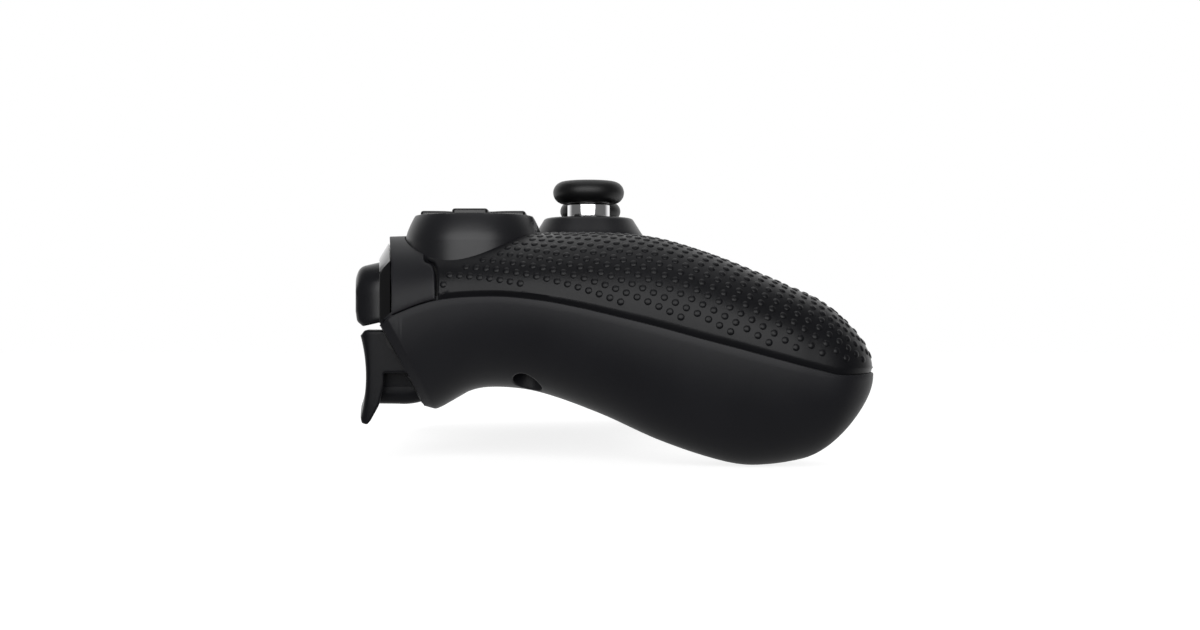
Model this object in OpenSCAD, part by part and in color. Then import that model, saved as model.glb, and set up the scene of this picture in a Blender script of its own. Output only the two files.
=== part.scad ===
// Handheld gamepad: two-piece casing with dotted grip covers, a raised
// directional pad, four face buttons, two tilting sticks, bumpers and
// triggers, and the parts that these need inside.
// Millimetres. +X to the player's right, +Y forward, +Z up.

/* [Casing] */
// Width across both grips
body_w = 158; // [154:1:162]
// Length from the bumpers to the grip tips
body_l = 118; // [115:1:121]
// Width across the shoulders
shoulder_w = 132; // [130:1:134]
// Distance between the middles of the grip tips
tip_span = 125; // [123:1:127]
// Width of a grip near its tip
tip_w = 30; // [29:0.5:31]
// Height of the top deck
deck_z = 51.2; // [50.6:0.2:52]
// Height of the flat belly
belly_z = 17.2; // [16.4:0.2:18]
// Wall thickness
wall = 2.2; // [1.8:0.1:2.6]
// Gap between casing pieces
joint_gap = 0.15; // [0.1:0.05:0.3]
// Plan radius of the front
front_r = 360; // [340:10:400]

/* [Front] */
// Depth of the front fascia
fascia_t = 2.4; // [2.2:0.1:2.8]
// How far the bumpers stand out of the fascia
bumper_proud = 5.2; // [4.6:0.1:5.6]
// Height of a bumper
bumper_h = 13.6; // [12.4:0.2:14]
// Inner end of a bumper, from the middle
bumper_in = 30; // [28:0.5:31]
// Travel of a bumper
bumper_travel = 1.2; // [0.8:0.1:1.4]
// Width of a trigger
trigger_w = 30; // [27:0.5:30.5]
// Diameter of a trigger pin
pin_d = 2.5; // [2:0.1:3]
// Swing of a trigger, degrees
trigger_swing = 16; // [10:1:17]

/* [Sticks] */
// Stick axis from the middle
stick_x = 32; // [31:0.5:33]
// Stick cap diameter
cap_d = 17.1; // [16:0.1:18]
// Stick cap thickness
cap_h = 5.4; // [5:0.1:5.8]
// Height of the top of a stick
stick_top = 65; // [64.6:0.2:66]
// Metal collar diameter
collar_d = 10.1; // [9:0.1:10.2]
// Bore of a stick ring
ring_bore = 19.2; // [19:0.1:19.6]
// Height of a stick ring
ring_z = 55.8; // [55:0.1:55.9]
// Tilt of a stick each way, degrees
stick_tilt = 15; // [10:1:15]
// Click travel of a stick
stick_click = 0.5; // [0.3:0.1:0.6]

/* [Directional pad] */
// Pad and face button centres, from the middle
pad_x = 50; // [49:0.5:51]
// Span of the cross
pad_span = 23.8; // [22:0.1:24.4]
// Width of an arm
arm_w = 8; // [7:0.1:9]
// Diameter of the pad bezel's top
pad_rim_d = 26.8; // [26.6:0.1:28]
// Height of both bezels
rim_z = 55.4; // [54.8:0.1:56]
// Height of the cross above its bezel
pad_proud = 1.1; // [0.9:0.1:1.6]
// Tilt of the cross each way, degrees
pad_tilt = 4; // [2:0.5:4]

/* [Buttons] */
// Face button diameter
button_d = 9.4; // [8.6:0.1:9.8]
// Face button circle radius
button_ring = 9.1; // [8.9:0.1:9.3]
// Height of a face button above its bezel
button_proud = 2.2; // [1.8:0.1:2.8]
// Button travel
button_travel = 1.2; // [0.8:0.1:1.2]
// Home button diameter
home_d = 10; // [8:0.5:12]
// System button length
system_l = 7.4; // [6:0.2:9]

/* [Inside] */
// Height of the board's top
board_z = 39; // [38.8:0.1:39.2]
// Board thickness
board_t = 1.6; // [1.2:0.1:1.8]
// Battery width
battery_w = 40; // [34:1:44]
// Battery thickness
battery_h = 9.6; // [7:0.2:11]
// Vibration motor diameter
motor_d = 15; // [13:0.5:16]

/* [Hidden] */
fine = 48;
wide = 180;
half_w = body_w / 2;
sx = shoulder_w / 2;
tip_x = tip_span / 2;
tip_r = tip_w / 2;
tip_y = -body_l / 2;
tip_l = 16;
front_y = body_l / 2;
bumper_out = bumper_in + 30.5;
fascia_y = front_y - sqrt(pow(front_r + bumper_proud, 2) - pow(bumper_in, 2)) + front_r;
front_c = fascia_y - front_r;
edge_y = front_y + 1;
stick_y = front_y - 55.25;
pad_y = front_y - 29.25;
rear_y = -14.2;
land = 0.4;
board_b = board_z - board_t;

// Smooth step from 0 at a to 1 at b
function ramp(a, b, v) = let(t = min(1, max(0, (v - a) / (b - a)))) t * t * (3 - 2 * t);
function mix(a, b, t) = a + (b - a) * t;

// Smooth curve through stations [position, height], positions falling
function step_of(st, p, i = 0) = (i >= len(st) - 2 || p > st[i + 1][0]) ? i : step_of(st, p, i + 1);
function rate(st, i) =
    let(a = max(i - 1, 0), b = min(i + 1, len(st) - 1)) (st[b][1] - st[a][1]) / (st[b][0] - st[a][0]);
function along(st, p) =
    let(i = step_of(st, p), h = st[i + 1][0] - st[i][0], t = min(1, max(0, (p - st[i][0]) / h)))
    st[i][1] * (1 + 2 * t) * pow(1 - t, 2) + st[i + 1][1] * t * t * (3 - 2 * t)
    + h * rate(st, i) * t * pow(1 - t, 2) - h * rate(st, i + 1) * t * t * (1 - t);

// Side view: the parting line, the ridge of the top and the lowest line
seam_st = [
    [front_y + 3, 30.5], [front_y - 9.4, 30.7], [front_y - 12.6, 32.8], [front_y - 22.2, 36.1],
    [24, 37], [13.8, 36.1], [5.2, 34.5], [-3.2, 32.5], [-11.6, 30.4], [-19.9, 28.1], [-28.3, 25.9],
    [-36.7, 23.6], [tip_y + 13.5, 21.3], [tip_y + 8.8, 20.3], [tip_y, 20.4]
];
ridge_st = [
    [front_y, deck_z - 0.4], [front_y - 20, deck_z], [9, deck_z + 0.2], [-9.2, deck_z - 0.9],
    [-21.5, deck_z - 4.2], [-35, 41.8], [tip_y + 15, 38], [tip_y + 7, 34.8], [tip_y, 32]
];
grip_st = [
    [front_y - 14, 8.4], [front_y - 21.9, 12], [front_y - 29, 15.9], [23.2, 16.7], [14.3, 15.6],
    [1, 11.1], [-12.3, 5.3], [-25.5, 1], [-33, 0], [tip_y + 15, 1.4], [tip_y + 7, 4.5], [tip_y, 8.5]
];
belly_st = [
    [front_y - 14, 8.4], [front_y - 21.9, 12], [front_y - 29, 15.9], [front_y - 36, belly_z],
    [front_y - 37, belly_z], [0, belly_z], [rear_y, belly_z]
];
function seam_z(y) = along(seam_st, y);

// Plan outline of one half, from the front corner round the grip tip to the middle of the rear
plan_pts = [
    [sx - 1.6, edge_y], [sx + 0.2, edge_y - 14], [sx + 3.5, 30], [half_w - 4.5, 10],
    [half_w - 0.8, -8], [half_w, -22], [half_w - 0.5, -34],
    for (a = [0, -35, -65, -90, -115, -150, -180]) [tip_x + tip_r * cos(a), tip_y + tip_l * (1 + sin(a))],
    [tip_x - tip_r - 1.3, tip_y + tip_l + 10], [tip_x - tip_r - 4, tip_y + tip_l + 18.5],
    [37.5, rear_y - 4.4], [29, rear_y - 1.4], [15, rear_y - 0.2], [0, rear_y], [-15, rear_y - 0.2]
];
function gap_of(p, i) = norm(p[i + 1] - p[i]);
function lean(p, i) =
    i == 0 ? (p[1] - p[0]) / gap_of(p, 0) :
    i == len(p) - 1 ? (p[i] - p[i - 1]) / gap_of(p, i - 1) :
    let(a = gap_of(p, i - 1), b = gap_of(p, i))
    ((p[i + 1] - p[i]) * a / b + (p[i] - p[i - 1]) * b / a) / (a + b);
function bend(p, i, t) =
    let(h = gap_of(p, i))
    p[i] * (1 + 2 * t) * pow(1 - t, 2) + p[i + 1] * t * t * (3 - 2 * t)
    + lean(p, i) * h * t * pow(1 - t, 2) - lean(p, i + 1) * h * t * t * (1 - t);
function curve(p, a, b, k) = [for (i = [a : b - 1]) for (j = [0 : k - 1]) bend(p, i, j / k), p[b]];
side_line = curve(plan_pts, 0, len(plan_pts) - 1, 4);

// Distance in plan from the side outline
function to_edge(p, a, b) = let(d = b - a, t = min(1, max(0, ((p - a) * d) / (d * d)))) norm(p - a - t * d);
function edge_dist(p) = min([for (i = [0 : len(side_line) - 2]) to_edge(p, side_line[i], side_line[i + 1])]);

// Rounding of the edge: 0 at the outline, 1 from r inwards
function swell(d, r, n) = let(q = min(1, max(0, d / r))) pow(1 - pow(1 - q, n), 1 / n);
function top_r(x, y) = mix(9, mix(19, 15.4, ramp(32, -8, y)), ramp(24, 42, abs(x)));
function low_r(x, y) = mix(11, mix(16, 15.6, ramp(10, -25, y)), ramp(24, 42, abs(x)));
function top_n(y) = mix(2, 2.1, ramp(15, -25, y));
function low_z(x, y) = mix(along(belly_st, y), along(grip_st, y), ramp(26, 50, abs(x)));
function upper_at(p, in) =
    let(z = seam_z(p[1]) + joint_gap + land, d = edge_dist([abs(p[0]), p[1]]) - in)
    z + (along(ridge_st, p[1]) - in - z) * swell(d, top_r(p[0], p[1]) - in, top_n(p[1]));
function lower_at(p, in) =
    let(z = seam_z(p[1]) - land, d = edge_dist([abs(p[0]), p[1]]) - in)
    z - (z - low_z(p[0], p[1]) - in) * swell(d, low_r(p[0], p[1]) - in, 2.1);

// Two rails in plan, inset from the outline, and the sections between them
function front_n(in) = in > 0 ? 4 : 5;
function side_n(in) = in > 0 ? 13 : 17;
function cross_n(in) = in > 0 ? 10 : 14;
function rows(in) = front_n(in) + side_n(in);
outer_pts = curve(plan_pts, 0, 10, 6);
inner_pts = let(c = curve(plan_pts, 10, len(plan_pts) - 2, 6)) [for (i = [len(c) - 1 : -1 : 0]) c[i]];
crotch_n = 18;
function spans(p) =
    [for (i = 0, s = 0; i < len(p); s = s + (i + 1 < len(p) ? gap_of(p, i) : 0), i = i + 1) s];
function turned(p, i, side) =
    let(a = p[max(0, i - 1)], b = p[min(len(p) - 1, i + 1)], d = (b - a) / norm(b - a)) side * [d[1], -d[0]];
function shifted(p, in, side) = [for (i = [0 : len(p) - 1]) p[i] + in * turned(p, i, side)];
function at_span(p, s, v) = [
    lookup(v, [for (i = [0 : len(p) - 1]) [s[i], p[i][0]]]),
    lookup(v, [for (i = [0 : len(p) - 1]) [s[i], p[i][1]]])
];
function outer_rail(in) =
    let(p = shifted(outer_pts, in, 1), s = spans(p), l = s[len(s) - 1] - 0.6)
    concat(
        [for (i = [0 : front_n(in) - 1]) [p[0][0] * i / front_n(in), edge_y]],
        [for (i = [0 : side_n(in)]) at_span(p, s, l * sin(90 * pow(i / side_n(in), 1.15)))]
    );
function inner_rail(in) =
    let(p = shifted(inner_pts, in, -1), s = spans(p), l = s[len(s) - 1] - 0.6, c = s[crotch_n])
    concat(
        [for (i = [0 : front_n(in) - 1]) at_span(p, s, c * i / front_n(in))],
        [for (i = [0 : side_n(in)]) at_span(p, s, c + (l - c) * sin(90 * pow(i / side_n(in), 1.15)))]
    );
function plan_grid(in) =
    let(o = outer_rail(in), n = inner_rail(in), c = cross_n(in))
    [for (i = [0 : rows(in)]) [for (j = [0 : c]) mix(o[i], n[i], (1 - cos(180 * j / c)) / 2)]];
function is_rim(i, j, in) = i == rows(in) || j == cross_n(in) || (j == 0 && i >= front_n(in));
function upper_grid(g, in) =
    [for (i = [0 : rows(in)]) [for (j = [0 : cross_n(in)]) let(p = g[i][j])
        [p[0], p[1], is_rim(i, j, in) ? seam_z(p[1]) + joint_gap + land : upper_at(p, in)]]];
function lower_grid(g, in) =
    [for (i = [0 : rows(in)]) [for (j = [0 : cross_n(in)]) let(p = g[i][j])
        [p[0], p[1], is_rim(i, j, in) ? seam_z(p[1]) - land : lower_at(p, in)]]];
function seam_grid(g, dz) = [for (r = g) [for (p = r) [p[0], p[1], seam_z(p[1]) + dz]]];
function flat_grid(g, z) = [for (r = g) [for (p = r) [p[0], p[1], z]]];
function flipped(g) = [for (i = [len(g) - 1 : -1 : 1]) [for (p = g[i]) [-p[0], p[1], p[2]]]];
function both(g) = concat(flipped(g), g);

// Closed body between an upper and a lower sheet of points; rows before mid are a mirrored half
module slab(a, b, mid = 0) {
    n = len(a);
    m = len(a[0]);
    k = n * m;
    pts = [for (r = a) for (p = r) p, for (r = b) for (p = r) p];
    sheet = [for (i = [0 : n - 2]) for (j = [0 : m - 2])
        let(q = i * m + j) [q, q + m, q + m + 1, q + 1]];
    rim = concat(
        [for (j = [0 : m - 1]) j],
        [for (i = [1 : n - 1]) i * m + m - 1],
        [for (j = [m - 2 : -1 : 0]) (n - 1) * m + j],
        [for (i = [n - 2 : -1 : 1]) i * m]
    );
    halves = [for (q = sheet) each q[0] < mid * m ?
        [[q[0], q[1], q[3]], [q[1], q[2], q[3]]] : [[q[0], q[1], q[2]], [q[0], q[2], q[3]]]];
    faces = [
        for (t = halves) t,
        for (t = halves) [k + t[0], k + t[2], k + t[1]],
        for (i = [0 : len(rim) - 1]) let(u = rim[i], v = rim[(i + 1) % len(rim)]) [u, v, k + v],
        for (i = [0 : len(rim) - 1]) let(u = rim[i], v = rim[(i + 1) % len(rim)]) [u, k + v, k + u]
    ];
    polyhedron(points = pts, faces = faces, convexity = 8);
}

module upper_body(in, whole) {
    g = plan_grid(in);
    a = upper_grid(g, in);
    b = in > 0 ? flat_grid(g, 12) : seam_grid(g, joint_gap);
    if (whole)
        slab(both(a), both(b), rows(in));
    else
        slab(a, b);
}
module lower_body(in) {
    g = plan_grid(in);
    a = in > 0 ? flat_grid(g, 60) : seam_grid(g, 0);
    slab(both(a), both(lower_grid(g, in)), rows(in));
}
module on_right_and_left() {
    children();
    mirror([1, 0, 0]) children();
}
module front_round(dr) {
    translate([0, front_c, 0]) cylinder(r = front_r + dr, h = 80, $fn = wide);
}
module front_slope(dr) {
    lean_z = 0.538;
    translate([0, front_c, -5])
        cylinder(r1 = front_r + dr - 35.7 * lean_z, r2 = front_r + dr + 24.3 * lean_z, h = 60, $fn = wide);
}
// A side profile drawn in Y and Z, carried across from x0 to x1
module across(x0, x1) {
    translate([x0, 0, 0]) rotate([90, 0, 90]) linear_extrude(x1 - x0) children();
}
module block(x0, x1, y0, y1, z0, z1) {
    translate([x0, y0, z0]) cube([x1 - x0, y1 - y0, z1 - z0]);
}
module post(x, y, z0, z1, r) {
    translate([x, y, z0]) cylinder(r = r, h = z1 - z0, $fn = fine);
}

// Case screws: [x, y] of one half
screw_pts = [[63, front_y - 42], [tip_x - 0.5, tip_y + 12], [14, rear_y + 7]];
screw_r = 1.3;
head_r = 2.6;
function screw_joint(p) = seam_z(p[1]) - 0.6;
function screw_seat(p) = screw_joint(p) - 9;

// Line in plan between the deck and a grip cover
split_ctl = [
    [sx + 9, front_y - 24], [sx + 2.4, front_y - 22.2], [sx - 2.2, front_y - 19], [pad_x + 4, pad_y + 3],
    [47.6, 20], [46.4, 8], [45.2, -2], [42.4, -11], [39.2, rear_y - 3.6], [36.5, rear_y - 14]
];
split_line = curve(split_ctl, 0, len(split_ctl) - 1, 5);
function split_at(dx) = [for (i = [0 : len(split_line) - 1]) split_line[i] + dx * turned(split_line, i, 1)];
module deck_area(dx) {
    s = split_at(dx);
    linear_extrude(80) polygon(concat(
        [[0, front_y + 10], [sx + 9, front_y + 10]], s,
        [for (i = [len(s) - 1 : -1 : 0]) [-s[i][0], s[i][1]]], [[-sx - 9, front_y + 10]]
    ));
}

pad_base_r = pad_rim_d / 2 + 2.2;
button_rim_r = button_ring + button_d / 2 + 0.9;
button_base_r = button_rim_r + 2;
ring_r = ring_bore / 2 + 4.4;
stick_l = 17.4;
pivot_z = stick_top - stick_l;
pivot_room = pivot_z - board_z;
deck_in = deck_z - 0.2 - wall;
home_y = front_y - 39;
system_y = front_y - 25;
system_x = 14;
lens_y = front_y - 54;
board_pts = [[22, front_y - 17], [10, rear_y + 13]];

module pill(l, w, z0, z1) {
    block(-(l - w) / 2, (l - w) / 2, -w / 2, w / 2, z0, z1);
    post(-(l - w) / 2, 0, z0, z1, w / 2);
    post((l - w) / 2, 0, z0, z1, w / 2);
}

trigger_out = sx - 5;
trigger_in = trigger_out - trigger_w;
hinge_y = front_y - 13.7;
hinge_z = 27.6;
trigger_r = 14.8;
hub_r = pin_d / 2 + 1.55;
motor_x = tip_x + 1.5;
motor_y = tip_y + 29;
motor_z = 17;
motor_l = 15;

module lower_shell() {
    color([0.1, 0.1, 0.11]) difference() {
        union() {
            difference() {
                intersection() {
                    lower_body(0);
                    front_slope(0);
                }
                intersection() {
                    lower_body(wall);
                    front_slope(-wall);
                }
            }
            intersection() {
                on_right_and_left() {
                    for (p = screw_pts) post(p[0], p[1], -2, screw_joint(p), 4.2);
                    block(motor_x - 4.5, motor_x - 2.5, motor_y - 9, motor_y + 9, -2, motor_z);
                    block(motor_x + 2.5, motor_x + 4.5, motor_y - 9, motor_y + 9, -2, motor_z);
                }
                lower_body(0.6);
            }
        }
        on_right_and_left() {
            for (p = screw_pts) {
                post(p[0], p[1], -5, screw_seat(p), 3.2);
                post(p[0], p[1], 0, 60, screw_r + 0.2);
            }
            translate([motor_x - 8, motor_y, motor_z]) rotate([0, 90, 0])
                cylinder(r = motor_d / 2 + 0.02, h = 16, $fn = fine);
            block(trigger_in - 2.4, trigger_out + 2.4, front_y - 25, front_y + 9, 19.5, 60);
            block(trigger_in - 2.4, trigger_out - 2.5, front_y - 21.7, front_y + 9, 13.4, 20);
            across(trigger_in - 0.6, trigger_out - 3.4)
                translate([hinge_y, hinge_z]) circle(r = trigger_r + 0.5, $fn = fine);
        }
        block(-90, 90, front_y - 22, front_y, -5, 11.7);
    }
}

module upper_shell() {
    color([0.1, 0.1, 0.11]) difference() {
        union() {
            intersection() {
                difference() {
                    upper_body(0, true);
                    upper_body(wall, true);
                }
                deck_area(0);
                front_round(-fascia_t);
            }
            intersection() {
                on_right_and_left()
                    post(screw_pts[2][0], screw_pts[2][1], screw_joint(screw_pts[2]) + 0.1, 60, 3.2);
                upper_body(0.6, true);
            }
            on_right_and_left() for (p = board_pts) post(p[0], p[1], board_z, deck_in + 0.4, 2.6);
        }
        on_right_and_left() {
            post(screw_pts[2][0], screw_pts[2][1], 20, 42, screw_r + 0.03);
            for (p = board_pts) post(p[0], p[1], 20, 46.5, 0.78);
            post(stick_x, stick_y, 30, 70, ring_r + joint_gap);
            translate([system_x, system_y, 0]) pill(system_l + 0.4, 3.6, 30, 70);
        }
        post(-pad_x, pad_y, 30, 70, pad_base_r + joint_gap);
        post(pad_x, pad_y, 30, 70, button_base_r + joint_gap);
        post(0, home_y, 30, 70, home_d / 2 + 0.2);
        translate([0, lens_y, 0]) pill(14.2, 2.6, 30, 70);
    }
}

// A grip cover on the right; hole_r clears the bezel beside it
module grip_cover(hole_r) {
    difference() {
        union() {
            difference() {
                upper_body(0, false);
                upper_body(wall, false);
            }
            intersection() {
                for (i = [0, 1])
                    post(screw_pts[i][0], screw_pts[i][1], screw_joint(screw_pts[i]) + 0.1, 60, 3.2);
                upper_body(0.6, false);
            }
        }
        deck_area(-0.4 - joint_gap);
        post(pad_x, pad_y, 0, 70, hole_r + joint_gap);
        for (i = [0, 1]) {
            j = screw_joint(screw_pts[i]);
            post(screw_pts[i][0], screw_pts[i][1], j - 1, j + 8, screw_r + 0.03);
        }
    }
}
module left_grip_cover() {
    color([0.13, 0.13, 0.14]) mirror([1, 0, 0]) grip_cover(pad_base_r);
}
module right_grip_cover() {
    color([0.13, 0.13, 0.14]) grip_cover(button_base_r);
}

// Bumper profile: distance out of the fascia, and height
bumper_z = 31.2;
bumper_lean = 0.231;
plate_d = 1.2;
module bumper_side(g) {
    p = bumper_proud;
    b = bumper_z - g;
    t = bumper_z + bumper_h + g;
    polygon([
        [-fascia_t - 0.2, b + (fascia_t + 0.2) * bumper_lean], [p - 1.6, b - (p - 1.6) * bumper_lean],
        [p - 0.3, b - p * bumper_lean + 1.5], [p, b - p * bumper_lean + 4],
        [p, t - p * bumper_lean - 2.4], [p - 0.9, t - (p - 0.9) * bumper_lean],
        [-fascia_t - 0.2, t + (fascia_t + 0.2) * bumper_lean]
    ]);
}
module front_ring(r0, r1, z0, z1) {
    difference() {
        translate([0, front_c, z0]) cylinder(r = front_r + r1, h = z1 - z0, $fn = wide);
        translate([0, front_c, z0 - 1]) cylinder(r = front_r + r0, h = z1 - z0 + 2, $fn = wide);
    }
}
// Front view of a bumper: the outer top corner is round, to clear the shoulder
module bumper_front(g) {
    r = 7;
    t = bumper_z + bumper_h + 0.3;
    translate([0, front_y + 30, 0]) rotate([90, 0, 0]) linear_extrude(80) {
        translate([bumper_in - g, 0]) square([bumper_out - r - bumper_in + g, 80]);
        translate([bumper_in - g, 0]) square([bumper_out - bumper_in + 2 * g, t - r]);
        translate([bumper_out - r, t - r]) circle(r = r + g, $fn = fine);
    }
}
module bumper_body(g) {
    intersection() {
        translate([0, front_c, 0]) rotate_extrude($fn = wide) translate([front_r, 0]) bumper_side(g);
        bumper_front(g);
    }
}
module bumper() {
    bumper_body(0);
    intersection() {
        front_ring(-fascia_t - 0.2 - plate_d, -fascia_t - 0.2, bumper_z - 0.3, bumper_z + bumper_h + 1.9);
        block(bumper_in + 2, bumper_out - 10.5, 0, front_y + 20, 0, 80);
    }
}
module left_bumper() {
    color([0.12, 0.12, 0.13]) mirror([1, 0, 0]) bumper();
}
module right_bumper() {
    color([0.12, 0.12, 0.13]) bumper();
}

usb_w = 9;
usb_h = 3.2;
module front_fascia() {
    w = sx - 3.4;
    z0 = 31;
    z1 = deck_z - 1.8;
    color([0.03, 0.03, 0.035]) difference() {
        intersection() {
            translate([0, front_c, 0]) rotate_extrude($fn = wide) translate([front_r, 0]) polygon([
                [-fascia_t + joint_gap, z0], [0, z0], [0, z1 - 3.6], [-fascia_t + joint_gap, z1]
            ]);
            translate([0, front_y + 30, 0]) rotate([90, 0, 0]) linear_extrude(80) union() {
                translate([-w, 0]) square([2 * w, z1 - 8]);
                translate([-w + 8, 0]) square([2 * w - 16, z1]);
                translate([-w + 8, z1 - 8]) circle(r = 8, $fn = fine);
                translate([w - 8, z1 - 8]) circle(r = 8, $fn = fine);
            }
        }
        on_right_and_left() bumper_body(0.4);
        block(-usb_w / 2 - 0.2, usb_w / 2 + 0.2, 0, front_y + 20, board_z - 0.2, board_z + usb_h + 0.2);
    }
}

// Trigger, side view: the blade, which follows the curve of the front, the arm and the swept body
blade_y = front_y - 4.95;
module blade_side() {
    difference() {
        polygon([
            [-5.2, 29.4], [-5.2, 17.5], [-4.1, 12.2], [-2.3, 9.2], [-1.7, 8.6], [-0.8, 8.7], [0, 10],
            [0, 28], [-1.1, 29.4]
        ]);
        translate([38.95, 19]) circle(r = 40, $fn = 96);
    }
}
module blade() {
    r = norm([trigger_out, blade_y - front_c]);
    intersection() {
        translate([0, front_c, 0]) rotate_extrude($fn = wide) translate([r, 0]) blade_side();
        block(trigger_in, trigger_out, 0, front_y + 20, 0, 80);
    }
}
module arm_side() {
    polygon([
        [hinge_y, hinge_z + 0.2], [blade_y - 5.2, hinge_z - 3], [blade_y - 2, hinge_z - 3],
        [blade_y - 2, 29.4], [hinge_y, 29.4]
    ]);
}
module sweep_side() {
    intersection() {
        union() {
            translate([hinge_y, hinge_z]) circle(r = trigger_r, $fn = fine);
            translate([hinge_y + 1, hinge_z - trigger_r + 0.1]) square([20, trigger_r]);
        }
        polygon([
            [hinge_y - 2, hinge_z + 1.5], [blade_y - 3, hinge_z + 1.5], [blade_y - 3, 8],
            [hinge_y - 2, 8], [hinge_y - 7.4, 12.5], [hinge_y - 2.9, hinge_z - 2]
        ]);
    }
}
module trigger_front() {
    translate([0, front_y + 20, 0]) rotate([90, 0, 0]) linear_extrude(60) polygon([
        [trigger_in, 40], [trigger_in, 11.4], [trigger_out - 16, 11], [trigger_out - 1.5, 8.5],
        [trigger_out, 10], [trigger_out, 40]
    ]);
}
module trigger() {
    difference() {
        intersection() {
            trigger_front();
            union() {
                blade();
                across(trigger_in, trigger_out) arm_side();
                across(trigger_in, trigger_in + 2) sweep_side();
                across(trigger_out - 6, trigger_out - 4) sweep_side();
                across(trigger_in, trigger_out - 4) difference() {
                    sweep_side();
                    translate([hinge_y, hinge_z]) circle(r = trigger_r - 1.6, $fn = fine);
                }
                across(trigger_out - 6, trigger_out) intersection() {
                    sweep_side();
                    translate([hinge_y - 20, 20]) square([40, 1.6]);
                }
                across(trigger_out - 2, trigger_out) intersection() {
                    sweep_side();
                    translate([hinge_y - 20, 20]) square([40, 12]);
                }
                for (x = [trigger_in, trigger_out - 5])
                    across(x, x + 5) translate([hinge_y, hinge_z]) circle(r = hub_r, $fn = fine);
            }
        }
        across(trigger_in - 1, trigger_out + 1)
            translate([hinge_y, hinge_z]) circle(r = pin_d / 2 + 0.06, $fn = fine);
        across(trigger_in + 5, trigger_out - 5)
            translate([hinge_y, hinge_z]) circle(r = pin_d / 2 + 1.8, $fn = fine);
    }
}
module left_trigger() {
    color([0.11, 0.11, 0.12]) mirror([1, 0, 0]) trigger();
}
module right_trigger() {
    color([0.11, 0.11, 0.12]) trigger();
}
ear_t = 1.8;
module trigger_bracket() {
    for (x = [trigger_in - 0.25 - ear_t, trigger_out + 0.25]) across(x, x + ear_t) difference() {
        union() {
            translate([hinge_y, hinge_z]) circle(r = hub_r, $fn = fine);
            polygon([
                [hinge_y - 2.7, hinge_z + 0.8], [hinge_y + 2.5, hinge_z + 1.2],
                [hinge_y - 1, board_b], [hinge_y - 7, board_b]
            ]);
        }
        translate([hinge_y, hinge_z]) circle(r = pin_d / 2 + 0.02, $fn = fine);
    }
    block(
        trigger_in - 0.25 - ear_t, trigger_out + 0.25 + ear_t,
        hinge_y - 7, hinge_y - 4, board_b - 2.4, board_b
    );
}
module left_trigger_bracket() {
    color([0.3, 0.3, 0.32]) mirror([1, 0, 0]) trigger_bracket();
}
module right_trigger_bracket() {
    color([0.3, 0.3, 0.32]) trigger_bracket();
}
module trigger_pin() {
    across(trigger_in - 0.25 - ear_t, trigger_out + 0.25 + ear_t)
        translate([hinge_y, hinge_z]) circle(r = pin_d / 2, $fn = fine);
}
module left_trigger_pin() {
    color([0.7, 0.7, 0.72]) mirror([1, 0, 0]) trigger_pin();
}
module right_trigger_pin() {
    color([0.7, 0.7, 0.72]) trigger_pin();
}

// Return spring: a coil round the pin with one leg to the blade and one to the bracket
wire_r = 0.3;
coil_r = pin_d / 2 + 0.75;
coil_pitch = 1.1;
coil_turns = 4;
coil_x = (trigger_in + trigger_out) / 2 - coil_pitch * coil_turns / 2;
function coil_at(a) = [coil_x + coil_pitch * a / 360, coil_r * cos(a), coil_r * sin(a)];
coil_path = concat(
    [[coil_x, coil_r + 3.2, -9], [coil_x, coil_r, -4], [coil_x, coil_r, -1]],
    [for (k = [0 : 8 * coil_turns + 2]) coil_at(45 * k)],
    [coil_at(45 * (8 * coil_turns + 2)) + [0.3, -2, 0]]
);
echo(coil_gap = coil_pitch - 2 * wire_r);
module tube(path, r, sides) {
    n = len(path);
    pts = [for (i = [0 : n - 1])
        let(d = path[min(n - 1, i + 1)] - path[max(0, i - 1)], u = d / norm(d), v = cross(u, [1, 0, 0]),
            e = v / norm(v), f = cross(u, e))
        for (k = [0 : sides - 1]) path[i] + r * (e * cos(360 * k / sides) + f * sin(360 * k / sides))];
    skin = [for (i = [0 : n - 2]) for (k = [0 : sides - 1])
        let(a = i * sides + k, b = i * sides + (k + 1) % sides)
        each [[a, a + sides, b + sides], [a, b + sides, b]]];
    ends = [for (k = [1 : sides - 2])
        each [[0, k, k + 1], [(n - 1) * sides, (n - 1) * sides + k + 1, (n - 1) * sides + k]]];
    polyhedron(points = pts, faces = concat(skin, ends), convexity = 10);
}
module trigger_spring() {
    translate([0, hinge_y, hinge_z]) tube(coil_path, wire_r, 6);
}
module left_trigger_spring() {
    color([0.75, 0.75, 0.77]) mirror([1, 0, 0]) trigger_spring();
}
module right_trigger_spring() {
    color([0.75, 0.75, 0.77]) trigger_spring();
}

// Raised round bezels
bezel_t = 1.8;
module bezel(r0, r1) {
    k = r1 - r0;
    h = 5.8;
    a = (k * k + h * h) / (2 * k);
    rotate_extrude($fn = 96) difference() {
        union() {
            translate([0, board_z]) square([r1, rim_z - h - board_z]);
            intersection() {
                translate([r1 - a, rim_z - h]) circle(r = a, $fn = 96);
                translate([0, rim_z - h]) square([r1, h]);
            }
        }
        translate([0, board_z - 1]) square([r0 - 1.2, rim_z - bezel_t - board_z + 1]);
        translate([r0 - 1.3, board_z - 1]) square([1.3, rim_z - h - board_z + 2.5]);
    }
}
module pad_bezel() {
    g = 0.65;
    color([0.12, 0.12, 0.13]) translate([-pad_x, pad_y, 0]) difference() {
        bezel(pad_rim_d / 2, pad_base_r);
        block(-pad_span / 2 - g, pad_span / 2 + g, -arm_w / 2 - g, arm_w / 2 + g, rim_z - 5, rim_z + 5);
        block(-arm_w / 2 - g, arm_w / 2 + g, -pad_span / 2 - g, pad_span / 2 + g, rim_z - 5, rim_z + 5);
    }
}
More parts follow.
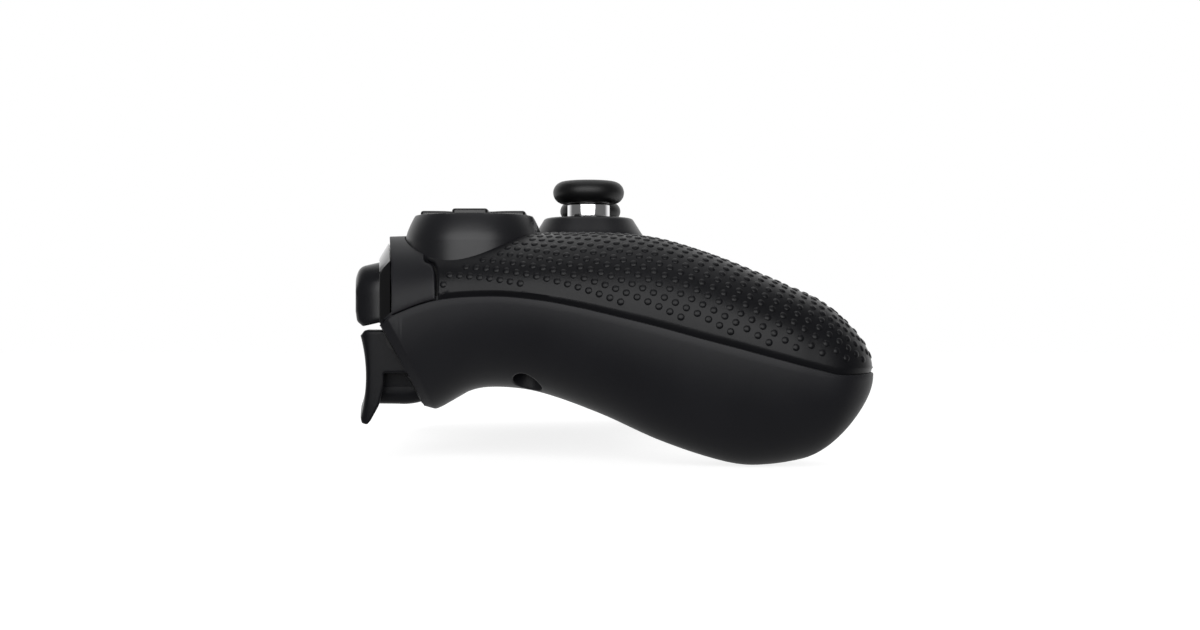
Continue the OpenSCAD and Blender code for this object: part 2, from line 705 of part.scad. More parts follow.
function button_at(i) = [pad_x + button_ring * cos(90 * i), pad_y + button_ring * sin(90 * i)];
module button_bezel() {
    color([0.12, 0.12, 0.13]) difference() {
        translate([pad_x, pad_y, 0]) bezel(button_rim_r, button_base_r);
        for (i = [0 : 3]) post(button_at(i)[0], button_at(i)[1], rim_z - 5, rim_z + 5, button_d / 2 + 0.15);
    }
}

// Cross of the directional pad, on a two-way pivot
cross_z = rim_z - 7;
key_z = rim_z - 3.4;
pivot_r = 0.9;
plunger_r = pad_rim_d / 2 - 4.9;
dome_top = board_z + 4.2;
module dpad() {
    color([0.06, 0.06, 0.065]) translate([-pad_x, pad_y, 0]) {
        block(-pad_span / 2, pad_span / 2, -arm_w / 2, arm_w / 2, key_z, rim_z + pad_proud);
        block(-arm_w / 2, arm_w / 2, -pad_span / 2, pad_span / 2, key_z, rim_z + pad_proud);
        post(0, 0, key_z - 1, key_z + 0.4, pad_rim_d / 2 - 2);
        for (a = [0 : 90 : 270]) post(plunger_r * cos(a), plunger_r * sin(a), dome_top + 1, key_z - 0.5, 1.8);
        for (s = [-1, 1]) difference() {
            block(-1.9, 1.9, s * 4.4 - 0.8, s * 4.4 + 0.8, cross_z - 1.9, key_z - 0.5);
            translate([0, s * 4.4 + 2, cross_z]) rotate([90, 0, 0])
                cylinder(r = pivot_r + 0.05, h = 4, $fn = fine);
        }
    }
}
module dpad_pivot() {
    color([0.55, 0.55, 0.57]) translate([-pad_x, pad_y, cross_z]) {
        translate([-5.2, 0, 0]) rotate([0, 90, 0]) cylinder(r = pivot_r, h = 10.4, $fn = fine);
        translate([0, 5.2, 0]) rotate([90, 0, 0]) cylinder(r = pivot_r, h = 10.4, $fn = fine);
        translate([-1.6, -1.6, -1.4]) cube([3.2, 3.2, 2.8]);
    }
}
module dpad_post() {
    color([0.3, 0.3, 0.32]) translate([-pad_x, pad_y, 0]) {
        block(-5, 5, -2.4, 2.4, board_z, board_z + 2);
        for (s = [-1, 1]) difference() {
            block(s * 4.4 - 0.8, s * 4.4 + 0.8, -1.9, 1.9, board_z + 1.5, cross_z + 1.9);
            translate([s * 4.4 - 2, 0, cross_z]) rotate([0, 90, 0])
                cylinder(r = pivot_r + 0.05, h = 4, $fn = fine);
        }
    }
}
module rubber_dome(x, y, top) {
    translate([x, y, board_z]) cylinder(r1 = 3.4, r2 = 2.2, h = top - board_z, $fn = fine);
}
module dpad_membrane() {
    color([0.35, 0.35, 0.36]) translate([-pad_x, pad_y, 0]) {
        difference() {
            post(0, 0, board_z, board_z + 0.8, pad_rim_d / 2 - 1.8);
            block(-5.4, 5.4, -2.6, 2.6, board_z - 1, board_z + 3);
            block(-20, 20, -20, -9.2, board_z - 1, board_z + 3);
        }
        for (a = [0, 90, 180]) rubber_dome(plunger_r * cos(a), plunger_r * sin(a), dome_top);
        intersection() {
            rubber_dome(0, -plunger_r, dome_top);
            block(-9, 9, -9.2, 0, 0, 60);
        }
    }
}
module button_membrane() {
    color([0.35, 0.35, 0.36]) {
        difference() {
            post(pad_x, pad_y, board_z, board_z + 0.8, button_rim_r - 2.1);
            block(30, 70, 0, pad_y - 9.2, board_z - 1, board_z + 3);
        }
        for (i = [0 : 2]) rubber_dome(button_at(i)[0], button_at(i)[1], dome_top);
        intersection() {
            rubber_dome(button_at(3)[0], button_at(3)[1], dome_top);
            block(30, 70, pad_y - 9.2, 60, 0, 60);
        }
    }
}

module face_button(i) {
    p = button_at(i);
    top = rim_z + button_proud;
    color([0.06, 0.06, 0.065]) translate([p[0], p[1], 0]) intersection() {
        union() {
            post(0, 0, key_z, top, button_d / 2);
            intersection() {
                post(0, 0, key_z - 0.4, rim_z - bezel_t - 0.3, button_d / 2 + 0.8);
                post(pad_x - p[0], pad_y - p[1], key_z - 2, key_z + 8, button_rim_r - 1.5);
            }
            post(0, 0, dome_top + button_travel + 0.3, key_z, 2.6);
        }
        translate([0, 0, top - 16]) sphere(r = 16, $fn = 96);
    }
}
module face_button_1() {
    face_button(0);
}
module face_button_2() {
    face_button(1);
}
module face_button_3() {
    face_button(2);
}
module face_button_4() {
    face_button(3);
}

// System buttons in the deck, over their own membrane
system_top = deck_z + 0.7;
module system_button() {
    translate([0, system_y, 0]) {
        pill(system_l, 3.2, deck_in - 1, system_top);
        pill(system_l + 1.6, 4.8, deck_in - 2.2, deck_in - 0.6);
        post(0, 0, dome_top + button_travel + 0.3, deck_in - 2, 1.6);
    }
}
module select_button() {
    color([0.16, 0.16, 0.17]) translate([-system_x, 0, 0]) system_button();
}
module start_button() {
    color([0.16, 0.16, 0.17]) translate([system_x, 0, 0]) system_button();
}
module home_button() {
    color([0.16, 0.16, 0.17]) {
        post(0, home_y, deck_in - 1, system_top + 0.2, home_d / 2);
        post(0, home_y, deck_in - 2.2, deck_in - 0.6, home_d / 2 + 0.9);
        post(0, home_y, dome_top + button_travel + 0.3, deck_in - 2, 2.2);
    }
}
module system_membrane() {
    color([0.35, 0.35, 0.36]) {
        block(-system_x - 4, system_x + 4, system_y - 3.6, system_y + 3.6, board_z, board_z + 0.8);
        block(-4, 4, home_y - 4, system_y, board_z, board_z + 0.8);
        for (x = [-system_x, system_x]) rubber_dome(x, system_y, dome_top);
        rubber_dome(0, home_y, dome_top);
    }
}
module indicator_lens() {
    color([0.75, 0.8, 0.85]) translate([0, lens_y, 0]) {
        pill(14, 2.4, deck_in - 1, deck_z + 0.1);
        pill(16, 4.4, deck_in - 2.2, deck_in - 0.5);
        post(-5, 0, board_z, deck_in - 2, 1);
        post(5, 0, board_z, deck_in - 2, 1);
    }
}

// Stick: ring, cap, collar, stem and the two-way module under it
module stick_ring() {
    r = ring_bore / 2;
    z = deck_in - 1.6;
    translate([stick_x, stick_y, 0]) {
        rotate_extrude($fn = 96) polygon([
            [r, z + 0.5], [r, ring_z - 0.3], [r + 0.2, ring_z], [r + 0.6, ring_z], [r + 1.3, ring_z - 0.7],
            [ring_r, deck_z - 0.6], [ring_r, z - 1.2], [r + 1.6, z - 1.2], [r + 1.6, z + 0.5]
        ]);
        difference() {
            post(0, 0, z - 1.2, z, ring_r + 0.7);
            post(0, 0, z - 2, z + 1, ring_r - 0.5);
            block(-20, 20, -20, -9.9, z - 2, z + 1);
        }
    }
}
module stick_cap() {
    e = cap_h / 2;
    translate([stick_x, stick_y, stick_top - cap_h]) difference() {
        rotate_extrude($fn = 96) {
            square([cap_d / 2 - e, cap_h]);
            translate([cap_d / 2 - e, e]) intersection() {
                circle(r = e, $fn = fine);
                translate([-e, -e]) square([2 * e, 2 * e]);
            }
        }
        translate([0, 0, cap_h + 39.6]) sphere(r = 40, $fn = 96);
        post(0, 0, -1, 1.7, 1.3);
    }
}
module stick_collar() {
    translate([stick_x, stick_y, 0]) difference() {
        post(0, 0, pivot_z + 8, stick_top - cap_h, collar_d / 2);
        post(0, 0, pivot_z, stick_top, 1.3);
    }
}
module stick_stem() {
    translate([stick_x, stick_y, pivot_z]) {
        rotate_extrude($fn = 96) {
            intersection() {
                difference() {
                    circle(r = 8.6, $fn = 96);
                    circle(r = 7.4, $fn = 96);
                }
                translate([0, 5.6]) square([9, 2.4]);
            }
            translate([0, 3.4]) square([2.6, 4.3]);
        }
        post(0, 0, -0.395 * pivot_room, stick_l - cap_h + 1.5, 1.25);
    }
}
module stick_pivot() {
    translate([stick_x, stick_y, pivot_z]) difference() {
        union() {
            translate([-2.1, -2.3, -1.5]) cube([4.2, 4.6, 3]);
            translate([0, 3.5, 0]) rotate([90, 0, 0]) cylinder(r = 0.7, h = 7, $fn = fine);
        }
        post(0, 0, -5, 5, 1.29);
    }
}
module stick_rocker() {
    translate([stick_x, stick_y, pivot_z]) difference() {
        union() {
            translate([-4.9, -3.6, -1.4]) cube([9.8, 7.2, 2.8]);
            translate([-6.4, 0, 0]) rotate([0, 90, 0]) cylinder(r = 0.9, h = 12.8, $fn = fine);
        }
        translate([-3.6, -2.6, -3]) cube([7.2, 5.2, 6]);
        translate([0, 5, 0]) rotate([90, 0, 0]) cylinder(r = 0.75, h = 10, $fn = fine);
    }
}
module stick_housing() {
    translate([stick_x, stick_y, 0]) difference() {
        block(-6.5, 6.5, -6.5, 6.5, board_z, pivot_z + 1.4);
        block(-5.3, 5.3, -5.3, 5.3, board_z + 0.14 * pivot_room, pivot_z + 5);
        translate([-8, 0, pivot_z]) rotate([0, 90, 0]) cylinder(r = 0.95, h = 16, $fn = fine);
    }
}
module left_stick_ring() {
    color([0.12, 0.12, 0.13]) mirror([1, 0, 0]) stick_ring();
}
module right_stick_ring() {
    color([0.12, 0.12, 0.13]) stick_ring();
}
module left_stick_cap() {
    color([0.04, 0.04, 0.045]) mirror([1, 0, 0]) stick_cap();
}
module right_stick_cap() {
    color([0.04, 0.04, 0.045]) stick_cap();
}
module left_stick_collar() {
    color([0.8, 0.8, 0.82]) mirror([1, 0, 0]) stick_collar();
}
module right_stick_collar() {
    color([0.8, 0.8, 0.82]) stick_collar();
}
module left_stick_stem() {
    color([0.08, 0.08, 0.085]) mirror([1, 0, 0]) stick_stem();
}
module right_stick_stem() {
    color([0.08, 0.08, 0.085]) stick_stem();
}
module left_stick_pivot() {
    color([0.85, 0.85, 0.83]) mirror([1, 0, 0]) stick_pivot();
}
module right_stick_pivot() {
    color([0.85, 0.85, 0.83]) stick_pivot();
}
module left_stick_rocker() {
    color([0.5, 0.5, 0.52]) mirror([1, 0, 0]) stick_rocker();
}
module right_stick_rocker() {
    color([0.5, 0.5, 0.52]) stick_rocker();
}
module left_stick_housing() {
    color([0.6, 0.6, 0.62]) mirror([1, 0, 0]) stick_housing();
}
module right_stick_housing() {
    color([0.6, 0.6, 0.62]) stick_housing();
}

module main_board() {
    color([0.05, 0.25, 0.15]) difference() {
        union() {
            block(-40, 40, rear_y + 10.8, front_y - 13, board_b, board_z);
            block(-44, 44, rear_y + 10.8, front_y - 16, board_b, board_z);
            block(-62.5, 62.5, front_y - 38.5, front_y - 16, board_b, board_z);
            block(-7, 7, 20, fascia_y - 5.2, board_b, board_z);
            block(-9, -1, 18, 26, board_b - 1.2, board_b + 0.5);
        }
        on_right_and_left() for (p = board_pts) post(p[0], p[1], 20, 60, 0.9);
    }
}
module usb_socket() {
    color([0.7, 0.7, 0.72]) difference() {
        block(-usb_w / 2, usb_w / 2, fascia_y - 10, fascia_y - 1.2, board_z, board_z + usb_h);
        block(
            -usb_w / 2 + 0.35, usb_w / 2 - 0.35, fascia_y - 7.5, fascia_y,
            board_z + 0.35, board_z + usb_h - 0.35
        );
    }
}
module bumper_switches() {
    x = bumper_in + 6;
    y = front_c + sqrt(pow(front_r, 2) - pow(x, 2)) - fascia_t - 0.2 - plate_d - bumper_travel - 0.4;
    color([0.2, 0.2, 0.21]) on_right_and_left() {
        block(x - 3, x + 3, y - 5.4, y - 1.8, board_z, board_z + 5);
        translate([x, y - 2, board_z + 2.6]) rotate([-90, 0, 0]) cylinder(r = 1.5, h = 2, $fn = fine);
    }
}
module battery() {
    color([0.25, 0.3, 0.42])
        block(-battery_w / 2, battery_w / 2, 1, front_y - 33, belly_z + wall + 0.12, belly_z + wall + battery_h);
}
module motor() {
    translate([motor_x - motor_l / 2 + 1, motor_y, motor_z]) rotate([0, 90, 0]) difference() {
        cylinder(r = motor_d / 2, h = motor_l, $fn = fine);
        translate([0, 0, -1]) cylinder(r = 0.85, h = 9, $fn = fine);
    }
}
module motor_weight() {
    translate([motor_x - motor_l / 2 + 1, motor_y, motor_z]) rotate([0, -90, 0]) {
        translate([0, 0, -6]) cylinder(r = 0.8, h = 11, $fn = fine);
        translate([0, 0, 0.8]) difference() {
            cylinder(r = motor_d / 2 - 1.2, h = 4, $fn = fine);
            translate([1.4, -20, -1]) cube([40, 40, 8]);
        }
    }
}
module left_motor() {
    color([0.65, 0.65, 0.67]) mirror([1, 0, 0]) motor();
}
module right_motor() {
    color([0.65, 0.65, 0.67]) motor();
}
module left_motor_weight() {
    color([0.5, 0.48, 0.42]) mirror([1, 0, 0]) motor_weight();
}
module right_motor_weight() {
    color([0.5, 0.48, 0.42]) motor_weight();
}
module case_screws() {
    color([0.3, 0.3, 0.31]) on_right_and_left() for (p = screw_pts) difference() {
        union() {
            post(p[0], p[1], screw_seat(p) - 2, screw_seat(p), head_r);
            post(p[0], p[1], screw_seat(p) - 0.5, screw_joint(p) + 6.5, screw_r);
        }
        for (a = [0, 90]) translate([p[0], p[1], screw_seat(p) - 2]) rotate([0, 0, a])
            cube([0.7, 3, 2.2], center = true);
    }
}
module board_screws() {
    color([0.6, 0.6, 0.62]) on_right_and_left() for (p = board_pts) {
        post(p[0], p[1], board_b - 1.4, board_b, 1.9);
        post(p[0], p[1], board_b - 0.5, board_z + 6, 0.75);
    }
}

lower_shell();
upper_shell();
left_grip_cover();
right_grip_cover();
front_fascia();
pad_bezel();
button_bezel();
left_stick_ring();
right_stick_ring();
left_bumper();
right_bumper();
left_trigger();
right_trigger();
left_trigger_bracket();
right_trigger_bracket();
left_trigger_pin();
right_trigger_pin();
left_trigger_spring();
right_trigger_spring();
dpad();
dpad_pivot();
dpad_post();
dpad_membrane();
face_button_1();
face_button_2();
face_button_3();
face_button_4();
button_membrane();
select_button();
start_button();
home_button();
system_membrane();
indicator_lens();
left_stick_cap();
right_stick_cap();
left_stick_collar();
right_stick_collar();
left_stick_stem();
right_stick_stem();
left_stick_pivot();
right_stick_pivot();
left_stick_rocker();
right_stick_rocker();
left_stick_housing();
right_stick_housing();
main_board();
usb_socket();
bumper_switches();
battery();
left_motor();
right_motor();
left_motor_weight();
right_motor_weight();
case_screws();
board_screws();
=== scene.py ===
import math

import bpy
import numpy as np
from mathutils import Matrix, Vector
from mathutils.geometry import delaunay_2d_cdt


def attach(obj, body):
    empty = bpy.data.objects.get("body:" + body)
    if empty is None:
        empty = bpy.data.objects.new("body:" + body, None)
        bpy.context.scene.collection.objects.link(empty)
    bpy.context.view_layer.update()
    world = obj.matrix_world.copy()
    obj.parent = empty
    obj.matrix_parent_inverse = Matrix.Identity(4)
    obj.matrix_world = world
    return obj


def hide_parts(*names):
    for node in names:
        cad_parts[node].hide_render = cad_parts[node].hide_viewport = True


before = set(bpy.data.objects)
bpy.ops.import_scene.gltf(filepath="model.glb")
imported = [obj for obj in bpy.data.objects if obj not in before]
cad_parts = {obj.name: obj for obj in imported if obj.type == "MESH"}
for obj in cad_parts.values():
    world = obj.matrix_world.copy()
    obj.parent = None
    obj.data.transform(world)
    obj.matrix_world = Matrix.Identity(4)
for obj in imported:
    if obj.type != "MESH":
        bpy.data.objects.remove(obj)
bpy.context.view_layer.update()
MM = 0.001
SIDES = (("left", -1), ("right", 1))

# Camera, at the photograph's side view
cam = bpy.data.cameras.new("camera")
cam.sensor_fit = "HORIZONTAL"
cam.sensor_width = 36
cam.lens = 44.19
cam.clip_start = 0.01
cam_ob = bpy.data.objects.new("camera", cam)
cam_ob.location = (-0.387, 0.001, 0.0329)
cam_ob.rotation_euler = (math.pi / 2, 0, -math.pi / 2)
bpy.context.scene.collection.objects.link(cam_ob)
bpy.context.scene.camera = cam_ob
bpy.context.scene.view_settings.view_transform = "Standard"

# Sizes of the body, in millimetres, as in the part's source
FRONT_R, FASCIA_T, JOINT, LAND = 360.0, 2.4, 0.15, 0.4
FRONT_C = 59 - math.sqrt((FRONT_R + 5.2) ** 2 - 30 ** 2)
RIM_Z = 55.4
PAD = np.array([50.0, 29.75])
STICK = np.array([32.0, 3.75])
SCREWS = [(63, 17), (62, -47), (14, -7.2)]
SEAM = [(62, 30.5), (49.6, 30.7), (46.4, 32.8), (36.8, 36.1), (24, 37), (13.8, 36.1), (5.2, 34.5), (-3.2, 32.5),
        (-11.6, 30.4), (-19.9, 28.1), (-28.3, 25.9), (-36.7, 23.6), (-45.5, 21.3), (-50.2, 20.3), (-59, 20.4)]
RIDGE = [(59, 50.8), (39, 51.2), (9, 51.4), (-9.2, 50.3), (-21.5, 47), (-35, 41.8), (-44, 38), (-52, 34.8), (-59, 32)]
GRIP = [(56, 3.4), (45, 8.4), (37.1, 12), (30, 15.9), (23.2, 16.7), (14.3, 15.6), (1, 11.1), (-12.3, 5.3),
        (-25.5, 1), (-33, 0), (-44, 1.4), (-52, 4.5), (-59, 8.5)]
BELLY = [(56, 3.4), (45, 8.4), (37.1, 12), (30, 15.9), (23, 17.2), (22, 17.2), (0, 17.2), (-14.2, 17.2)]
TIP = [(62.5 + 15 * math.cos(math.radians(a)), -59 + 16 * (1 + math.sin(math.radians(a))))
       for a in (0, -35, -65, -90, -115, -150, -180)]
PLAN = [(64.4, 60), (66.2, 46), (69.5, 30), (74.5, 10), (78.2, -8), (79, -22), (78.5, -34), *TIP, (46.2, -33),
        (43.5, -24.5), (37.5, -18.6), (29, -15.6), (15, -14.4), (0, -14.2), (-15, -14.4)]
SPLIT = [(75, 36.4), (68.6, 36.75), (67, 37.0), (65.3, 37.7), (63.6, 39.6), (61.4, 39.6), (54, 32.75), (47.6, 20),
         (46.4, 8), (45.2, -2), (42.4, -11), (39.2, -17.8), (36.5, -28.2)]
FLIP = np.array([-1.0, 1.0])
LEFT_PAD = PAD * FLIP
PAD_HOLE, KEYS_HOLE, STICK_HOLE = 15.75, 16.85, 14.15
WALL, GROOVE, EDGE_R, SEAT_R = 1.8, 0.55, 0.35, 3.2
GRID_STEP, SIDE_DEPTH = 1.35, 6.4
SHARP = math.radians(33)


def ramp(a, b, v):
    t = np.clip((v - a) / (b - a), 0, 1)
    return t * t * (3 - 2 * t)


def mix(a, b, t):
    return a + (b - a) * t


def along(st, p):
    """Height at p on a smooth line through the stations st, which run from front to back."""
    st = np.asarray(st, float)
    x, y, n = st[:, 0], st[:, 1], len(st)
    k = np.arange(n)
    a, b = np.maximum(k - 1, 0), np.minimum(k + 1, n - 1)
    r = (y[b] - y[a]) / (x[b] - x[a])
    p = np.asarray(p, float)
    i = np.clip(np.searchsorted(-x, -p, side="right") - 1, 0, n - 2)
    h = x[i + 1] - x[i]
    t = np.clip((p - x[i]) / h, 0, 1)
    return (y[i] * (1 + 2 * t) * (1 - t) ** 2 + y[i + 1] * t * t * (3 - 2 * t)
            + h * r[i] * t * (1 - t) ** 2 - h * r[i + 1] * t * t * (1 - t))


def curve(p, k):
    """A smooth line through points, k steps to each stretch."""
    p = np.asarray(p, float)
    g = np.linalg.norm(np.diff(p, axis=0), axis=1)
    m = np.empty_like(p)
    m[0], m[-1] = (p[1] - p[0]) / g[0], (p[-1] - p[-2]) / g[-1]
    for i in range(1, len(p) - 1):
        a, b = g[i - 1], g[i]
        m[i] = ((p[i + 1] - p[i]) * a / b + (p[i] - p[i - 1]) * b / a) / (a + b)
    out = []
    for i in range(len(p) - 1):
        for t in np.arange(k) / k:
            out.append(p[i] * (1 + 2 * t) * (1 - t) ** 2 + p[i + 1] * t * t * (3 - 2 * t)
                       + m[i] * g[i] * t * (1 - t) ** 2 - m[i + 1] * g[i] * t * t * (1 - t))
    return np.array(out + [p[-1]])


def even(line, step):
    """The same line with points about step apart."""
    s = np.r_[0, np.cumsum(np.linalg.norm(np.diff(line, axis=0), axis=1))]
    v = np.linspace(0, s[-1], max(2, int(round(s[-1] / step)) + 1))
    return np.c_[np.interp(v, s, line[:, 0]), np.interp(v, s, line[:, 1])]


def line_normals(line):
    """Unit normals to the right of the way along a line."""
    d = np.gradient(line, axis=0)
    d /= np.linalg.norm(d, axis=1)[:, None]
    return np.c_[d[:, 1], -d[:, 0]]


def line_dist(pts, line):
    a, d = line[:-1], np.diff(line, axis=0)
    dd = (d * d).sum(1)
    out = np.empty(len(pts))
    for i in range(0, len(pts), 2000):
        q = pts[i:i + 2000, None, :] - a[None]
        t = np.clip((q * d).sum(2) / dd, 0, 1)
        e = q - t[..., None] * d
        out[i:i + 2000] = np.sqrt((e * e).sum(2).min(1))
    return out


def inside(pts, poly):
    x, y = pts[:, 0], pts[:, 1]
    r = np.zeros(len(pts), bool)
    for (x0, y0), (x1, y1) in zip(poly, np.roll(poly, -1, 0)):
        if y0 != y1:
            r ^= ((y0 > y) != (y1 > y)) & (x < (x1 - x0) * (y - y0) / (y1 - y0) + x0)
    return r


SIDE = curve(PLAN, 16)
HALF = SIDE[:np.argmin(np.abs(SIDE[:, 0])) + 1]
WHOLE = np.r_[HALF, (HALF * [-1, 1])[::-1][1:]]


def edge_dist(p):
    d = line_dist(np.c_[np.abs(p[:, 0]), p[:, 1]], SIDE)
    return np.where(d < 0.012, 0, d)


def swell(d, r, n):
    """From 0 at the outline to 1 at r inside it, upright at the outline."""
    q = np.clip(d / r, 0, 1)
    return (1 - (1 - q) ** n) ** (1 / n)


def upper_at(p, d):
    ax, y = np.abs(p[:, 0]), p[:, 1]
    base = along(SEAM, y) + JOINT + LAND
    r = mix(9, mix(19, 15.4, ramp(32, -8, y)), ramp(24, 42, ax))
    return base + (along(RIDGE, y) - base) * swell(d, r, mix(2, 2.1, ramp(15, -25, y)))


def lower_at(p, d):
    ax, y = np.abs(p[:, 0]), p[:, 1]
    base = along(SEAM, y) - LAND
    r = mix(11, mix(16, 15.6, ramp(10, -25, y)), ramp(24, 42, ax))
    low = mix(along(BELLY, y), along(GRIP, y), ramp(26, 50, ax))
    z = base - (base - low) * swell(d, r, 2.1)
    return np.where(y > 37, np.maximum(z, 11.7), z)


def circle(c, r, step=0.8):
    n = max(24, int(2 * math.pi * r / step))
    a = np.linspace(0, 2 * math.pi, n + 1)
    return np.c_[c[0] + r * np.cos(a), c[1] + r * np.sin(a)]


def pill(c, l, w, n=12):
    h = (l - w) / 2
    a = np.linspace(-math.pi / 2, math.pi / 2, n)
    p = np.r_[np.c_[h + w / 2 * np.cos(a), w / 2 * np.sin(a)], np.c_[-h - w / 2 * np.cos(a), -w / 2 * np.sin(a)]]
    return np.r_[p, p[:1]] + np.asarray(c, float)


def shifted(line, off):
    return line + off * line_normals(line)


def hexgrid(x0, x1, y0, y1, step):
    """Staggered points over a box."""
    rows = []
    for i, y in enumerate(np.arange(y0, y1, step * 0.866)):
        x = np.arange(x0 + (i % 2) * step / 2, x1, step)
        rows.append(np.c_[x, np.full(len(x), y)])
    return np.concatenate(rows)


def triangulate(points, lines):
    """Triangles through loose points and along lines, counter-clockwise."""
    pts, edges, n = [np.asarray(points, float)], [], len(points)
    for l in lines:
        pts.append(l)
        edges += [(n + i, n + i + 1) for i in range(len(l) - 1)]
        n += len(l)
    r = delaunay_2d_cdt([Vector(p) for p in np.concatenate(pts)], edges, [], 0, 1e-4)
    v, t = np.array([p[:2] for p in r[0]]), np.array(r[2])
    a, b, c = v[t[:, 0]], v[t[:, 1]], v[t[:, 2]]
    area = (b[:, 0] - a[:, 0]) * (c[:, 1] - a[:, 1]) - (b[:, 1] - a[:, 1]) * (c[:, 0] - a[:, 0])
    t = np.where((area < 0)[:, None], t[:, ::-1], t)
    return v, t[np.abs(area) > 1e-7]


def compact(v, t, *more):
    """Only the points that the triangles use."""
    used = np.unique(t)
    back = np.zeros(len(v), int)
    back[used] = np.arange(len(used))
    return (v[used], back[t], *[m[used] for m in more])


def vert_normals(v, t):
    n = np.cross(v[t[:, 1]] - v[t[:, 0]], v[t[:, 2]] - v[t[:, 0]])
    out = np.zeros_like(v)
    for k in range(3):
        np.add.at(out, t[:, k], n)
    return out / np.maximum(np.linalg.norm(out, axis=1), 1e-12)[:, None]


def rim_edges(t):
    e = np.r_[t[:, [0, 1]], t[:, [1, 2]], t[:, [2, 0]]]
    key = np.sort(e, 1)
    _, i, c = np.unique(key, axis=0, return_index=True, return_counts=True)
    return e[i[c == 1]]


def close(v, t, inner, steps):
    """A closed shell from an outer sheet: steps holds, level by level, where each border point goes on the way in."""
    n = len(v)
    e = rim_edges(t)
    b = np.unique(e)
    back = np.zeros(n, int)
    back[b] = np.arange(len(b))
    verts, levels = [v], [lambda i: i]
    for k, s in enumerate(steps):
        verts.append(s[b])
        levels.append(lambda i, o=n + k * len(b): o + back[i])
    off = n + len(steps) * len(b)
    verts.append(inner)
    levels.append(lambda i: off + i)
    tris = [t, t[:, ::-1] + off]
    for lo, hi in zip(levels[:-1], levels[1:]):
        a, c = e[:, 0], e[:, 1]
        tris += [np.c_[lo(c), lo(a), hi(a)], np.c_[lo(c), hi(a), hi(c)]]
    return np.concatenate(verts), np.concatenate(tris)


def rounded(t, r):
    """How far an edge of radius r falls back, t in from it."""
    q = np.clip(1 - t / r, 0, 1)
    return r * (1 - np.sqrt(1 - q * q))


# Materials
MATS = {}


def node(tree, kind, sockets=()):
    """A shader node; sockets holds a value or another node's output for each named or numbered input."""
    n = tree.nodes.new(kind)
    for key, value in dict(sockets).items():
        if isinstance(value, bpy.types.NodeSocket):
            tree.links.new(value, n.inputs[key])
        else:
            n.inputs[key].default_value = value
    return n


def shade(name, color, rough, spec=0.5, metal=0.0, grain=0.0, grain_mm=0.2, vary=0.12,
          coat=0.0):
    """A moulded finish: fine grain in the bump, slow changes of gloss and tone."""
    m = bpy.data.materials.new(name)
    m.use_nodes = True
    nt = m.node_tree
    bsdf = nt.nodes["Principled BSDF"]
    bsdf.inputs["Metallic"].default_value = metal
    bsdf.inputs["Specular IOR Level"].default_value = spec
    bsdf.inputs["Coat Weight"].default_value = coat
    bsdf.inputs["Coat Roughness"].default_value = 0.08
    tc = nt.nodes.new("ShaderNodeTexCoord")

    def noise(scale, detail):
        return node(nt, "ShaderNodeTexNoise", {"Scale": scale, "Detail": detail, "Vector": tc.outputs["Object"]})

    def spread(src, a, b):
        r = node(nt, "ShaderNodeMapRange", {"Value": src, "From Min": 0.3, "From Max": 0.7, "To Min": a, "To Max": b})
        return r.outputs["Result"]

    slow = noise(45, 2)
    fine = noise(1000 / max(grain_mm, 0.02), 3)
    tone = nt.nodes.new("ShaderNodeMix")
    tone.data_type = "RGBA"
    tone.inputs["A"].default_value = (*[c * (1 - vary) for c in color], 1)
    tone.inputs["B"].default_value = (*[c * (1 + vary) for c in color], 1)
    nt.links.new(spread(slow.outputs["Fac"], 0, 1), tone.inputs["Factor"])
    nt.links.new(tone.outputs["Result"], bsdf.inputs["Base Color"])
    both = nt.nodes.new("ShaderNodeMath")
    nt.links.new(spread(slow.outputs["Fac"], rough - 0.03, rough + 0.03), both.inputs[0])
    nt.links.new(spread(fine.outputs["Fac"], -0.03, 0.03), both.inputs[1])
    nt.links.new(both.outputs[0], bsdf.inputs["Roughness"])
    if grain:
        bump = nt.nodes.new("ShaderNodeBump")
        bump.inputs["Strength"].default_value = grain
        bump.inputs["Distance"].default_value = 0.00004
        nt.links.new(fine.outputs["Fac"], bump.inputs["Height"])
        nt.links.new(bump.outputs["Normal"], bsdf.inputs["Normal"])
    MATS[name] = m
    return m


shade("casing", (0.0082, 0.0083, 0.0101), 0.44, spec=0.21, grain=0.35, grain_mm=0.16)
shade("grip", (0.0042, 0.0043, 0.0053), 0.33, spec=0.18, grain=0.4, grain_mm=0.16)
shade("gloss_front", (0.003, 0.003, 0.0034), 0.08, spec=0.35, coat=0.4, grain=0.03, grain_mm=0.6)
shade("bezel", (0.0068, 0.0069, 0.0084), 0.34, spec=0.36, grain=0.3, grain_mm=0.16)
shade("bumper", (0.0058, 0.0059, 0.0072), 0.25, spec=0.3, grain=0.3, grain_mm=0.16)
shade("trigger", (0.0052, 0.0053, 0.0065), 0.34, spec=0.12, grain=0.3, grain_mm=0.16)
shade("button", (0.0056, 0.0056, 0.006), 0.28, spec=0.35, coat=0.1, grain=0.05, grain_mm=0.4)
shade("small_button", (0.022, 0.022, 0.024), 0.36, grain=0.2)
shade("lens", (0.55, 0.60, 0.66), 0.25, grain=0.1, grain_mm=0.5)
shade("stick_rubber", (0.0036, 0.0036, 0.0039), 0.4, spec=0.3, grain=0.6, grain_mm=0.22)
shade("bright_metal", (0.86, 0.86, 0.87), 0.09, metal=1.0, vary=0.03, grain=0.04, grain_mm=0.1)
shade("inner_plastic", (0.0055, 0.0055, 0.006), 0.5, spec=0.2, grain=0.3)
shade("pale_plastic", (0.68, 0.68, 0.64), 0.45, grain=0.2)
shade("steel", (0.55, 0.55, 0.56), 0.3, metal=1.0, vary=0.06, grain=0.15, grain_mm=0.12)
shade("weight_metal", (0.30, 0.29, 0.27), 0.45, metal=1.0, grain=0.4)
